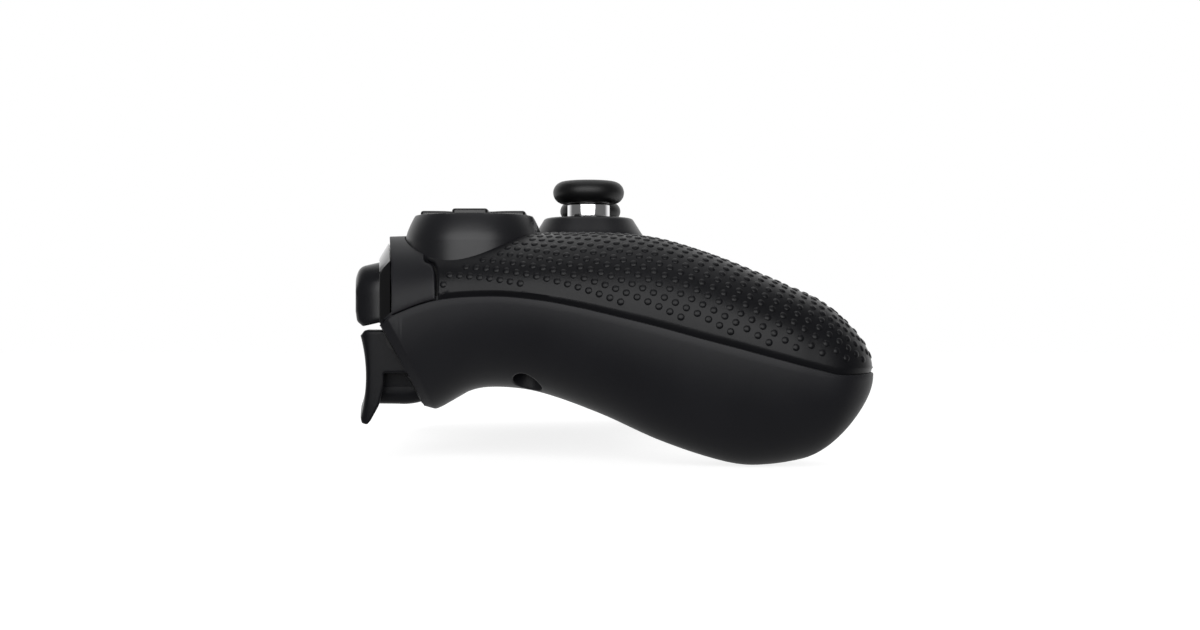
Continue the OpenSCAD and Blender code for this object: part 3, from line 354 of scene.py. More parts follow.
shade("dark_screw", (0.035, 0.035, 0.037), 0.38, metal=1.0, grain=0.2)
shade("membrane", (0.16, 0.16, 0.165), 0.7, spec=0.3, grain=0.3)
shade("board", (0.012, 0.085, 0.045), 0.35, grain=0.15, grain_mm=0.3, coat=0.3)
shade("battery_wrap", (0.05, 0.07, 0.13), 0.3, grain=0.1, grain_mm=0.5)


def add(name, v, t, slot, body, nodes=()):
    """A piece from points in millimetres, in place of the named CAD nodes, carried by a body."""
    me = bpy.data.meshes.new(name)
    me.from_pydata((np.asarray(v, float) * MM).tolist(), [], [tuple(int(i) for i in f) for f in t])
    me.materials.append(MATS[slot])
    me.validate()
    me.shade_smooth()
    me.set_sharp_from_angle(angle=SHARP)
    ob = bpy.data.objects.new(name, me)
    bpy.context.scene.collection.objects.link(ob)
    if body:
        settle(ob, body, nodes)
    return ob


def settle(ob, body, nodes=()):
    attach(ob, body)
    if nodes:
        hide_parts(*nodes)


# Casing shells, lifted from one plan
EDGE_OFFS = (0.05, 0.14, 0.26, 0.42, 0.8)
rim_line = even(HALF, 0.9)
rim_norm = line_normals(rim_line)
RIM = np.r_[rim_line, (rim_line * FLIP)[::-1][1:]]
RINGS = 15.5 * (1 - np.cos(np.radians(np.arange(3.3, 53, 3.3))))
ring_pts = [rim_line + d * rim_norm for d in RINGS]
arc_x = np.arange(-70, 70.5, 1.0)


def front_arc(dr):
    return np.c_[arc_x, FRONT_C + np.sqrt((FRONT_R + dr) ** 2 - arc_x ** 2)]


split = curve(SPLIT, 10)


def graded(line):
    """The same line, cut finely where the side is steep."""
    k = np.argmin(np.abs(line[:, 0] - 61.5))
    return np.r_[even(line[:k + 1], 0.14)[:-1], even(line[k:], 0.8)]


DECK_SIDE = (0, *EDGE_OFFS)
COVER_SIDE = (-GROOVE, -0.6, -0.69, -0.81, -0.97, -1.35)
split_r = {o: graded(shifted(split, o)) for o in (*DECK_SIDE, *COVER_SIDE)}


def deck_poly(off):
    s = shifted(split, off)
    return np.r_[[(0, 69), (75, 69)], s, (s * FLIP)[::-1], [(-75, 69)]]


def round_hole(c, r, step=0.8):
    """A hole's outline, the distance from it and the outline with a margin."""
    return circle(c, r, step), lambda p: np.hypot(*(p - c).T) - r, lambda o: circle(c, r + o, step)


def slot_hole(c, l, w):
    def away(p):
        return np.hypot(np.maximum(np.abs(p[:, 0] - c[0]) - (l - w) / 2, 0), p[:, 1] - c[1]) - w / 2
    return pill(c, l, w), away, lambda o: pill(c, l + 2 * o, w + 2 * o)


def both(ring):
    """A right-hand ring line with its mirror image and its middle point."""
    r = ring[ring[:, 0] > 0.05]
    return np.r_[r, r * FLIP, ring[-1:] * [0, 1]]


def body_grid():
    """Loose points over the inner part of the plan."""
    g = hexgrid(-76, 76, -58, 60, GRID_STEP)
    away = line_dist(np.c_[np.abs(g[:, 0]), g[:, 1]], SIDE)
    return g[(away > SIDE_DEPTH) & inside(g, WHOLE)]


holes = [round_hole(LEFT_PAD, PAD_HOLE), round_hole(PAD, KEYS_HOLE), round_hole(STICK, STICK_HOLE),
         round_hole(STICK * FLIP, STICK_HOLE), round_hole((0, 20), 5.2, 0.6), slot_hole((-14, 34), 7.8, 3.6),
         slot_hole((14, 34), 7.8, 3.6), slot_hole((0, 5), 14.2, 2.6)]
pts = np.concatenate([both(r) for r in ring_pts])
grid = body_grid()
for o in (0, -GROOVE):
    for m in (1, -1):
        grid = grid[line_dist(grid, split_r[o] * [m, 1]) > 1.3]
for _, f, _ in holes:
    grid = grid[np.abs(f(grid) - 0.4) > 0.9]
pts = np.r_[pts, grid]
lines = [RIM, front_arc(-FASCIA_T)]
for s in split_r.values():
    lines += [s, s * FLIP]
for poly, f, ring in holes:
    lines += [poly] + [ring(o) for o in EDGE_OFFS]
for o in EDGE_OFFS:
    lines.append(front_arc(-FASCIA_T - o))
plan_v, plan_t = triangulate(pts, lines)
mid = plan_v[plan_t].mean(1)
ok = inside(mid, RIM) & (np.hypot(mid[:, 0], mid[:, 1] - FRONT_C) < FRONT_R - FASCIA_T)
for poly, f, _ in holes:
    ok &= f(mid) > 0
in_deck = inside(mid, deck_poly(0))
out_deck = ~inside(mid, deck_poly(-GROOVE))
plan_d = edge_dist(plan_v)
plan_z = upper_at(plan_v, plan_d)
hole_t = np.min([np.maximum(f(plan_v), 0) for _, f, _ in holes], axis=0)
arc_t = np.maximum(FRONT_R - FASCIA_T - np.hypot(plan_v[:, 0], plan_v[:, 1] - FRONT_C), 0)


def inward(p):
    """Plan direction from the outline into the body."""
    ax = np.c_[np.abs(p[:, 0]), p[:, 1]]
    near = np.array([np.argmin(((rim_line - q) ** 2).sum(1)) for q in ax])
    n = rim_norm[near].copy()
    n[:, 0] *= np.where(p[:, 0] < 0, -1, 1)
    return n


def shell_piece(pick, split_t, foot, rim_steps, sink=0.0):
    """One piece of the upper casing: its sheet, rounded edges and a closed underside."""
    v2, t, dd, z, ht, at, st = compact(plan_v, plan_t[pick], plan_d, plan_z, hole_t, arc_t, split_t)
    seam = along(SEAM, v2[:, 1])
    z = np.maximum(z, seam + foot)
    v = np.c_[v2, z]
    n = vert_normals(v, t)
    v = v - n * np.maximum(rounded(np.minimum(ht, at), 0.1), rounded(st, EDGE_R))[:, None] - sink * n
    inner = v - WALL * n
    rim = dd == 0
    inn = np.zeros((len(v), 2))
    inn[rim] = inward(v2[rim])
    steps = []
    for k, (step_in, dz) in enumerate(rim_steps):
        s = v - n * (0.45 * (k + 1))
        s[rim] = np.c_[v2[rim] + step_in * inn[rim], seam[rim] + dz]
        steps.append(s)
    inner[rim] = np.c_[v2[rim] + WALL * inn[rim], seam[rim] + rim_steps[-1][1]]
    return close(v, t, inner, steps)


sd = np.minimum(line_dist(plan_v, split_r[0]), line_dist(plan_v, split_r[0] * FLIP))
sc = np.minimum(line_dist(plan_v, split_r[-GROOVE]), line_dist(plan_v, split_r[-GROOVE] * FLIP))
v, t = shell_piece(ok & in_deck, sd, 0.45, [(0.08, 0.24), (0.28, 0.13)])
upper = add("upper_casing", v, t, "casing", "case", ["upper_shell"])

strip = ok & inside(mid, deck_poly(COVER_SIDE[-1])) & ~inside(mid, deck_poly(DECK_SIDE[-1]))
v2, t, z = compact(plan_v, plan_t[strip], plan_z)
v = np.c_[v2, z]
n = vert_normals(v, t)
add("groove_floor", *close(v - 1.4 * n, t, v - 1.75 * n, []), "inner_plastic", "case")


def smooth_sheet(ob, p, d, at, up, plain):
    """Shades the steep side of a lifted sheet by the slope of its height, where it is plain."""
    use = plain & (d > 0) & (d < 5.5)
    q, dd, h = p[use], d[use], 0.05
    run = (at(q, dd * 1.001) - at(q, dd * 0.999)) / (0.002 * dd)
    slope = run[:, None] * inward(q)
    for k, e in enumerate(([h, 0], [0, h])):
        slope[:, k] += (at(q + e, dd) - at(q - e, dd)) / (2 * h)
    n = np.zeros((len(p), 3))
    n[use] = up * np.c_[-slope, np.ones(len(q))]
    n[use] /= np.linalg.norm(n[use], axis=1)[:, None]
    weight = np.where(use, 1 - ramp(3, 5.5, d), 0)
    me = ob.data
    corner = np.empty(3 * len(me.loops), np.float32)
    me.corner_normals.foreach_get("vector", corner)
    corner = corner.reshape(-1, 3)
    index = np.empty(len(me.loops), np.int32)
    me.loops.foreach_get("vertex_index", index)
    sheet = (index.reshape(-1, 3) < len(p)).all(1).repeat(3)
    index = np.where(sheet, index, 0)
    w = np.where(sheet, weight[index], 0)[:, None]
    corner = corner * (1 - w) + n[index] * w
    me.normals_split_custom_set((corner / np.linalg.norm(corner, axis=1)[:, None]).tolist())


p, _, d, near_hole, near_arc, near_split = compact(plan_v, plan_t[ok & in_deck], plan_d, hole_t, arc_t, sd)
smooth_sheet(upper, p, d, upper_at, 1, np.minimum(np.minimum(near_hole, near_arc), near_split) > 0.5)

# Dotted grip covers: a low dome at each point of a skewed lattice, repeated by Geometry Nodes
PITCH, ROW, SINK = 2.32, 2.28, 0.2
ROW_Y, ROW_Z, ROW_FALL = 40.2, 44.3, 0.004555
BARE = 2.95
DOT = [(0, -0.3), (0.6, -0.3), (0.8, -0.04), (0.77, 0.06), (0.63, 0.16), (0.41, 0.235), (0, 0.27)]


def dot_points(hole_r):
    """Places and normals of the dots on the right cover: rows that dip towards the grip tip."""
    s = np.r_[0, np.cumsum(np.linalg.norm(np.diff(rim_line, axis=0), axis=1))]
    start = np.interp(-35.1, -rim_line[:60, 1], s[:60])
    depth = np.r_[np.linspace(0, 1, 60) ** 2 * 4, np.arange(4.1, 34, 0.1)]
    cols = []
    last = s[np.argmin(rim_line[:, 1])] + 16
    for i, u in enumerate(np.arange(start - 11 * PITCH / 2, last, PITCH / 2)):
        o = np.array([np.interp(u, s, rim_line[:, k]) for k in (0, 1)])
        n = np.array([np.interp(u, s, rim_norm[:, k]) for k in (0, 1)])
        q = o + depth[:, None] * n / np.linalg.norm(n)
        cols.append((i - 7, u, o, q))
    flat = np.concatenate([c[3] for c in cols])
    dd = edge_dist(flat)
    ok = inside(flat, WHOLE)
    z = upper_at(flat, dd)
    out = []
    m = len(depth)
    for k, (i, u, o, q) in enumerate(cols):
        zz, good = z[k * m:(k + 1) * m], ok[k * m:(k + 1) * m]
        w = np.r_[0, np.cumsum(np.hypot(np.diff(depth), np.diff(zz)))] + 0.55
        end = np.argmax(~good[5:]) + 5 if (~good[5:]).any() else m
        tilt = 2 * ROW_FALL * (ROW_Y - o[1])
        base = ROW_Z - ROW_FALL * (ROW_Y - o[1]) ** 2 - along(SEAM, o[1])
        deep = 13.0 if o[1] < -50 else 40.0
        for row in range(-3, 34):
            if (row - i) % 2:
                continue
            want = base + row * ROW * math.sqrt(1 + tilt * tilt)
            if want < BARE or want > w[end - 1] - BARE:
                continue
            d0 = np.interp(want, w[:end], depth[:end])
            if d0 < deep:
                out.append(o + d0 * (q[-1] - q[0]) / np.linalg.norm(q[-1] - q[0]))
    out = np.array(out)
    out = out[(line_dist(out, split_r[-GROOVE]) > 0.82) & ~inside(out, deck_poly(0))
              & (np.hypot(*(out - PAD).T) > hole_r + 1.5)]
    pos = np.c_[out, upper_at(out, edge_dist(out))]
    keep = []
    for i in range(len(pos)):
        if not keep or np.min(((pos[keep] - pos[i]) ** 2).sum(1)) > 1.85 ** 2:
            keep.append(i)
    pos, out = pos[keep], out[keep]
    h = 0.02

    def slope(e):
        return (upper_at(out + e, edge_dist(out + e)) - upper_at(out - e, edge_dist(out - e))) / (2 * h)

    gx, gy = slope(np.array([h, 0])), slope(np.array([0, h]))
    nor = np.c_[-gx, -gy, np.ones(len(gx))]
    return pos, nor / np.linalg.norm(nor, axis=1)[:, None]


def lathe(profile, at=(0, 0), segs=64):
    """A closed turned form: profile runs from the axis (or a ring) round to where it began."""
    p = np.asarray(profile, float)
    ring = p[0, 0] > 1e-6 or p[-1, 0] > 1e-6
    a = np.arange(segs) * 2 * math.pi / segs
    v, rows = [], []
    for r, z in p:
        if r < 1e-6:
            rows.append([len(v)] * segs)
            v.append((at[0], at[1], z))
        else:
            rows.append(list(range(len(v), len(v) + segs)))
            v += [(at[0] + r * math.cos(x), at[1] + r * math.sin(x), z) for x in a]
    if ring:
        rows.append(rows[0])
    t = []
    for lo, hi in zip(rows[:-1], rows[1:]):
        for i in range(segs):
            j = (i + 1) % segs
            for f in ((lo[i], lo[j], hi[j]), (lo[i], hi[j], hi[i])):
                if len(set(f)) == 3:
                    t.append(f)
    return np.array(v), np.array(t)


def repeat_on_points(name, pos, nor, form_ob):
    """Geometry Nodes: an instance of a form on each point, along its normal, as one plain mesh."""
    me = bpy.data.meshes.new(name + "_points")
    me.from_pydata((pos * MM).tolist(), [], [])
    at = me.attributes.new("way", "FLOAT_VECTOR", "POINT")
    at.data.foreach_set("vector", nor.astype(np.float32).ravel())
    ob = bpy.data.objects.new(name + "_points", me)
    bpy.context.scene.collection.objects.link(ob)
    tree = bpy.data.node_groups.new(name + "_repeat", "GeometryNodeTree")
    tree.interface.new_socket("Geometry", in_out="INPUT", socket_type="NodeSocketGeometry")
    tree.interface.new_socket("Geometry", in_out="OUTPUT", socket_type="NodeSocketGeometry")
    form = tree.interface.new_socket("Form", in_out="INPUT", socket_type="NodeSocketObject")
    size = tree.interface.new_socket("Size", in_out="INPUT", socket_type="NodeSocketFloat")
    finish = tree.interface.new_socket("Finish", in_out="INPUT", socket_type="NodeSocketMaterial")
    N = tree.nodes.new
    gi, go = N("NodeGroupInput"), N("NodeGroupOutput")
    info, inst = N("GeometryNodeObjectInfo"), N("GeometryNodeInstanceOnPoints")
    real, setm = N("GeometryNodeRealizeInstances"), N("GeometryNodeSetMaterial")
    way, turn = N("GeometryNodeInputNamedAttribute"), N("FunctionNodeAlignRotationToVector")
    way.data_type = "FLOAT_VECTOR"
    way.inputs["Name"].default_value = "way"
    turn.axis = "Z"
    L = tree.links.new
    L(gi.outputs["Geometry"], inst.inputs["Points"])
    L(gi.outputs["Form"], info.inputs["Object"])
    L(info.outputs["Geometry"], inst.inputs["Instance"])
    L(way.outputs["Attribute"], turn.inputs["Vector"])
    L(turn.outputs["Rotation"], inst.inputs["Rotation"])
    L(gi.outputs["Size"], inst.inputs["Scale"])
    L(inst.outputs["Instances"], real.inputs["Geometry"])
    L(real.outputs["Geometry"], setm.inputs["Geometry"])
    L(gi.outputs["Finish"], setm.inputs["Material"])
    L(setm.outputs["Geometry"], go.inputs["Geometry"])
    mod = ob.modifiers.new("repeat", "NODES")
    mod.node_group = tree
    mod[form.identifier] = form_ob
    mod[size.identifier] = 1.0
    mod[finish.identifier] = MATS["grip"]
    bpy.context.view_layer.update()
    done = bpy.data.meshes.new_from_object(ob.evaluated_get(bpy.context.evaluated_depsgraph_get()))
    bpy.data.objects.remove(ob)
    out = bpy.data.objects.new(name, done)
    bpy.context.scene.collection.objects.link(out)
    return out


def carve(ob, tool, how="DIFFERENCE"):
    """Takes the tool out of a piece, or joins it on, and the tool away."""
    mod = ob.modifiers.new("carve", "BOOLEAN")
    mod.operation, mod.solver, mod.object = how, "MANIFOLD", tool
    mod.material_mode = "TRANSFER"
    bpy.context.view_layer.update()
    me = bpy.data.meshes.new_from_object(ob.evaluated_get(bpy.context.evaluated_depsgraph_get()))
    ob.modifiers.clear()
    old, ob.data = ob.data, me
    bpy.data.meshes.remove(old)
    bpy.data.objects.remove(tool)
    me.shade_smooth()
    me.set_sharp_from_angle(angle=SHARP)


dot = add("dot_form", *lathe(DOT, segs=12), "grip", None)
for (side, sign), hole_r in zip(SIDES, (PAD_HOLE, KEYS_HOLE)):
    v, t = shell_piece(ok & out_deck & (mid[:, 0] * sign > 0), sc, 1.3, [(0.36, 0.66), (0.5, 0.02)], SINK)
    ob = add(side + "_cover", v, t, "grip", None)
    pos, nor = dot_points(hole_r)
    dots = repeat_on_points(side + "_dots", (pos - SINK * nor) * [sign, 1, 1], nor * [sign, 1, 1], dot)
    carve(ob, dots, "UNION")
    settle(ob, "case", [side + "_grip_cover"])
bpy.data.objects.remove(dot)

# Lower shell, with its chamfered front edge
SLOPE, FRONT_TOP, BAND, SEAT_DEEP = 0.538, 30.7, 2.3, 9.6
TONGUE = [(0.08, -0.15), (0.28, -0.03), (0.9, -0.03), (0.9, 0.9)]


def low_z(p):
    return lower_at(p, edge_dist(p))


def front_gap(p, z):
    """How far a point lies outside the sloping front."""
    return np.hypot(p[:, 0], p[:, 1] - FRONT_C) - (FRONT_R - (FRONT_TOP - z) * SLOPE)


def crossing(p, g):
    """The last point along p where g falls through nought."""
    i = np.where((g[:-1] > 0) & (g[1:] <= 0))[0]
    if not len(i):
        return None
    i = i[-1]
    return p[i] + (p[i + 1] - p[i]) * g[i] / (g[i] - g[i + 1])


dense = even(HALF[HALF[:, 1] > 20], 0.05)
dense_n = line_normals(dense)


def contour(level):
    """Plan line where the lower shell meets its sloping front, level outside it."""
    out = []
    for dd in np.r_[0, RINGS]:
        p = dense + dd * dense_n
        q = crossing(p, front_gap(p, lower_at(p, np.full(len(p), dd))) - level)
        if q is not None:
            out.append(q)
    y = np.arange(58, 25, -0.05)
    for x in np.arange(math.floor(out[-1][0]) - 0.5, 0.2, -1.0):
        p = np.c_[np.full(len(y), x), y]
        out.append(crossing(p, front_gap(p, low_z(p)) - level))
    half = np.array(out)
    return np.r_[half, (half * FLIP)[::-1]]


cut = contour(0.0)
marks = [contour(-o) for o in (0.8, 1.6, BAND, BAND + 0.12, BAND + 0.3)]
seats = [(x * s, y) for x, y in SCREWS for s in (1, -1)]
grid = body_grid()
for c in seats:
    grid = grid[np.abs(np.hypot(*(grid - c).T) - 3.6) > 0.9]
grid = grid[line_dist(grid, marks[2]) > 0.7]
pts = np.r_[np.concatenate([both(r) for r in ring_pts]), grid]
lines = [RIM, cut] + marks + [circle(c, SEAT_R + o, 0.5) for c in seats for o in (0, 0.06, 0.16, 0.3, 0.5, 0.9)]
v2, t = triangulate(pts, lines)
m2 = v2[t].mean(1)
ok2 = inside(m2, RIM) & (front_gap(m2, low_z(m2)) < 0)
for c in seats:
    ok2 &= np.hypot(*(m2 - c).T) > SEAT_R
v2, t = compact(v2, t[ok2])
dd = edge_dist(v2)
z = lower_at(v2, dd)
v = np.c_[v2, z]
t = t[:, ::-1]
n = vert_normals(v, t)
gap = front_gap(v2, z)
seat_t = np.min([np.hypot(*(v2 - c).T) - SEAT_R for c in seats], axis=0)
rim = dd == 0
v = v - n * (0.8 * np.clip(1 + gap / BAND, 0, 1))[:, None] - n * rounded(np.maximum(seat_t, 0), EDGE_R)[:, None]
at_cut = line_dist(v2, cut) < 5e-3
order = np.where(at_cut)[0]
order = order[np.argsort(v2[order, 0])]
edge = v[order]
top_z = 30.6


def cone_y(x, z):
    return FRONT_C + np.sqrt((FRONT_R - (FRONT_TOP - z) * SLOPE) ** 2 - x ** 2)


bound = np.r_[edge[:, [0, 2]]]
bound[0, 1] = bound[-1, 1] = top_z
ring = np.r_[bound, bound[:1]]
opening = np.array([(28.6, 31), (28.6, 13.4), (58.5, 13.4), (58.5, 19.5), (63.4, 19.5), (63.4, 31)])
win = [opening, opening * FLIP]
grid = hexgrid(-64, 64, 11.5, 30.5, 1.6)
grid = grid[inside(grid, bound) & (line_dist(grid, ring) > 0.8)]
w2, wt = triangulate(grid, [ring] + win)
wm = w2[wt].mean(1)
keep = inside(wm, bound)
for w in win:
    keep &= ~inside(wm, w)
w2, wt = compact(w2, wt[keep])
wall = np.c_[w2[:, 0], cone_y(w2[:, 0], w2[:, 1]), w2[:, 1]]
near = np.array([np.argmin(((edge[:, [0, 2]] - q) ** 2).sum(1)) for q in w2])
same = np.linalg.norm(edge[near][:, [0, 2]] - w2, axis=1) < 2e-3
index = np.where(same, order[near], len(v) + np.cumsum(~same) - 1)
a, b, c = wall[wt[:, 0]], wall[wt[:, 1]], wall[wt[:, 2]]
if (np.cross(b - a, c - a)[:, 1]).mean() < 0:
    wt = wt[:, ::-1]
v_all = np.r_[v, wall[~same]]
t_all = np.r_[t, index[wt]]
n_all = vert_normals(v_all, t_all)
inner = v_all - WALL * n_all
rim_all = np.r_[rim, np.zeros(len(v_all) - len(v), bool)]
seat_all = np.r_[seat_t < 5e-3, np.zeros(len(v_all) - len(v), bool)]
inn = np.zeros((len(v_all), 2))
inn[rim_all] = inward(v_all[rim_all][:, :2])
seam = along(SEAM, v_all[:, 1])
seat_c = np.array([min(seats, key=lambda q: math.hypot(q[0] - p[0], q[1] - p[1])) for p in v_all[seat_all]])
steps = []
for k, (step_in, dz) in enumerate(TONGUE):
    s = v_all - n_all * (0.4 * (k + 1))
    s[rim_all] = np.c_[v_all[rim_all][:, :2] + step_in * inn[rim_all], seam[rim_all] + dz]
    s[seat_all, 2] = seam[seat_all] - SEAT_DEEP if k else v_all[seat_all][:, 2] + 0.8
    s[seat_all, :2] = seat_c + (v_all[seat_all][:, :2] - seat_c) * (1, 1, 0.85, 0.7)[k]
    steps.append(s)
inner[rim_all] = np.c_[v_all[rim_all][:, :2] + 1.7 * inn[rim_all], seam[rim_all] + 0.9]
inner[seat_all] = np.c_[seat_c + (v_all[seat_all][:, :2] - seat_c) * 0.45, seam[seat_all] - SEAT_DEEP]
lower = add("lower_casing", *close(v_all, t_all, inner, steps), "casing", "case", ["lower_shell"])
plain = (gap < -BAND - 0.4) & (seat_t > 0.9) & ((v2[:, 1] < 37) | (z > 11.8))
smooth_sheet(lower, v2, dd, lower_at, -1, plain)


# Forms raised from an outline
def fillet(points, r, n=6):
    """A closed outline with its corners rounded; r is one radius, or one for each corner."""
    p = np.asarray(points, float)
    rs = np.broadcast_to(r, len(p))
    out = []
    for i in range(len(p)):
        a, b = p[i - 1] - p[i], p[(i + 1) % len(p)] - p[i]
        a, b = a / np.linalg.norm(a), b / np.linalg.norm(b)
        half = math.acos(np.clip(a @ b, -1, 1)) / 2
        if rs[i] <= 0 or half > 1.54:
            out.append(p[i])
            continue
        c = p[i] + (a + b) / np.linalg.norm(a + b) * rs[i] / math.sin(half)
        s, e = p[i] + a * rs[i] / math.tan(half) - c, p[i] + b * rs[i] / math.tan(half) - c
        w = math.pi - 2 * half
        for k in np.linspace(0, 1, n + 1):
            out.append(c + (math.sin((1 - k) * w) * s + math.sin(k * w) * e) / math.sin(w))
    return np.array(out + out[:1])


def divided(line, step):
    """The same line with its long stretches cut to a step."""
    out = [line[:1]]
    for a, b in zip(line[:-1], line[1:]):
        k = max(1, math.ceil(np.linalg.norm(b - a) / step))
        out.append(a + (b - a) * (np.arange(1, k + 1) / k)[:, None])
    return np.concatenate(out)


def inward_of(loop):
    """Unit directions into a counter-clockwise loop, without its closing point."""
    p = loop[:-1]
    a, b = p - np.roll(p, 1, 0), np.roll(p, -1, 0) - p
    d = sum(q / np.maximum(np.linalg.norm(q, axis=1), 1e-9)[:, None] for q in (a, b))
    d /= np.maximum(np.linalg.norm(d, axis=1), 1e-9)[:, None]
    return np.c_[-d[:, 1], d[:, 0]]


def inset(loop, off):
    q = loop[:-1] + off * inward_of(loop)
    return np.r_[q, q[:1]]


ROUND = np.array([0.05, 0.19, 0.41, 0.69, 1.0])


def raised(outline, holes, height, foot, edge_r, step, extra=(), soft=None):
    """A solid on a plan outline: its top follows a height, its edges are rounded and its sides run to the foot."""
    loops = [divided(l, step) for l in (outline, *holes)]
    lines = list(loops) + list(extra)
    for i, l in enumerate(loops):
        lines += [inset(l, o if i == 0 else -o) for o in edge_r * ROUND]
    lo, hi = outline.min(0), outline.max(0)
    grid = hexgrid(lo[0], hi[0], lo[1], hi[1], step)
    for l in lines:
        grid = grid[line_dist(grid, l) > 0.45 * step]
    v2, t = triangulate(grid, lines)
    m = v2[t].mean(1)
    keep = inside(m, loops[0])
    for l in loops[1:]:
        keep &= ~inside(m, l)
    v2, t = compact(v2, t[keep])
    near = np.min([line_dist(v2, l) for l in loops], axis=0)
    z = height(v2) - rounded(near, edge_r) * (1 if soft is None else soft(v2))
    return close(np.c_[v2, z], t, np.c_[v2, np.full(len(v2), foot)], [])


def on_side(sign, v, faces):
    """A right-hand form as it is, or turned into the left-hand one."""
    return (v, faces) if sign > 0 else (np.asarray(v) * [-1, 1, 1], [tuple(f)[::-1] for f in faces])


def smooth_min(a, b, k):
    """The lower of two heights, blended over k."""
    h = np.clip(0.5 + 0.5 * (b - a) / k, 0, 1)
    return b + (a - b) * h - k * h * (1 - h)


# Pad and button bezels, and what sits in them
BEZEL_FOOT = 39.5


def bezel_top(c, r0, r1, dish):
    """Height of a bowl-sided bezel with a dished top, and the rings that its side needs."""
    k, h, bow = r1 - r0, 5.8, 0.5

    def height(p):
        r = np.hypot(*(p - c).T)
        up = (np.sqrt((1 - bow) ** 2 + 4 * bow * np.maximum((r1 - r) / k, 0)) - 1 + bow) / (2 * bow)
        return smooth_min(RIM_Z - h + h * up, RIM_Z - dish * (1 - np.clip(r / r0, 0, 1) ** 2), 0.35) + 0.06
    rings = [circle(c, r1 - k * q, 0.7) for q in (0.03, 0.07, 0.13, 0.21, 0.31, 0.43, 0.57, 0.73, 0.88)]
    return height, rings + [circle(c, r0 + o, 0.7) for o in (-0.9, -0.55, -0.25, 0)]


def cross_line(half, arm, r):
    s, a = half, arm
    return fillet([(s, -a), (s, a), (a, a), (a, s), (-a, s), (-a, a), (-s, a), (-s, -a), (-a, -a), (-a, -s), (a, -s),
                   (a, -a)], r, 5)


height, rings = bezel_top(LEFT_PAD, 13.4, 15.7, 0.5)
bowl = raised(circle(LEFT_PAD, 15.7, 0.7), [cross_line(12.5, 4.6, 1.0) + LEFT_PAD], height, BEZEL_FOOT, EDGE_R, 0.9,
              rings)
add("pad_bezel", *bowl, "bezel", "case", ["pad_bezel"])
KEYS = [PAD + 9.1 * np.array([math.cos(q), math.sin(q)]) for q in np.radians([0, 90, 180, 270])]
height, rings = bezel_top(PAD, 14.7, 16.8, 0.4)
bowl = raised(circle(PAD, 16.8, 0.7), [circle(c, 4.85, 0.6) for c in KEYS], height, BEZEL_FOOT, 0.3, 0.9, rings)
add("button_bezel", *bowl, "bezel", "case", ["button_bezel"])
v, t = raised(cross_line(11.9, 4.0, 0.9), [], lambda p: 56.5 - 0.75 * np.exp(-(p ** 2).sum(1) / 20), 51.2, 0.6, 0.7)
disc_v, disc_t = lathe([(0, 51.0), (11.2, 51.0), (11.4, 51.2), (11.4, 52.2), (11.2, 52.4), (0, 52.4)])
cross = add("dpad", v + [*LEFT_PAD, 0], t, "button", None)
carve(cross, add("pad_disc", disc_v + [*LEFT_PAD, 0], disc_t, "button", None), "UNION")
settle(cross, "pad", ["dpad"])
dome = [(4.7 - 0.45 * (1 - math.cos(q)), 56.46 + 0.45 * math.sin(q)) for q in np.radians([0, 20, 40, 60, 75])]
dome += [(r, 41.6 + math.sqrt(256 - r * r)) for r in (4.0, 3.4, 2.7, 2.0, 1.2, 0.6)]
for i, c in enumerate(KEYS, 1):
    add(f"face_button_{i}", *lathe([(0, 51.6), (4.9, 51.6), (4.9, 52.4), (4.7, 52.5), *dome, (0, 57.6)], c, 72),
        "button", f"face_button_{i}", [f"face_button_{i}"])
HOME = [(0, 48), (5, 48), (5, 51.5), (4.93, 51.75), (4.75, 51.92), (4.5, 51.98), (4.1, 52.0), (3.98, 51.9),
        (3.86, 51.78), (3.74, 51.9), (3.62, 52.02), (2.4, 52.08), (0, 52.1)]
add("home_button", *lathe(HOME, (0, 20), 72), "small_button", "home_button", ["home_button"])
for name, x in (("select_button", -14), ("start_button", 14)):
    def crowned(p, x=x):
        return 51.9 - 0.012 * (p[:, 0] - x) ** 2 - 0.06 * (p[:, 1] - 34) ** 2
    add(name, *raised(pill((x, 34), 7.4, 3.2), [], crowned, 47.5, 0.45, 0.5), "small_button", name, [name])
strip = raised(pill((0, 5), 14, 2.4), [], lambda p: np.full(len(p), 51.3), 47.5, 0.4, 0.5)
add("indicator_lens", *strip, "lens", "case", ["indicator_lens"])

# Thumb sticks
RING = [(9.6, 47.5), (11.2, 47.5), (11.2, 46.2), (14, 46.2), (14, 50.6), (12.45, 53.0), (11.0, 55.3), (10.82, 55.62),
        (10.58, 55.88), (10.3, 56.03), (10.0, 56.1), (9.8, 56.06), (9.66, 55.94), (9.6, 55.75)]
EDGE = [(5.85 + 2.7 * math.cos(q), 62.3 + 2.7 * math.sin(q)) for q in np.radians(np.arange(-90, 91, 9))]
CAP = [(0, 61.3), (1.35, 61.3), (1.35, 59.6), *EDGE, (5.4, 64.93), (5.0, 64.78), (4.4, 64.55), (3.4, 64.3), (2, 64.12),
       (0, 64.05)]
COLLAR = [(1.3, 55.6), (4.7, 55.6), (4.88, 55.66), (5.0, 55.8), (5.05, 56), (5.05, 59.2), (5.0, 59.42), (4.88, 59.56),
          (4.7, 59.6), (1.3, 59.6)]
for side, sign in SIDES:
    c = STICK * [sign, 1]
    add(side + "_ring", *lathe(RING, c, 96), "bezel", "case", [side + "_stick_ring"])
    add(side + "_cap", *lathe(CAP, c, 96), "stick_rubber", side + "_stick", [side + "_stick_cap"])
    add(side + "_collar", *lathe(COLLAR, c, 96), "bright_metal", side + "_stick", [side + "_stick_collar"])


# Front: fascia, bumpers and triggers
def wrap(x, g, z):
    """Points on the curved front, g out from the fascia's face."""
    return np.c_[x, FRONT_C + np.sqrt((FRONT_R + g) ** 2 - x ** 2), z]


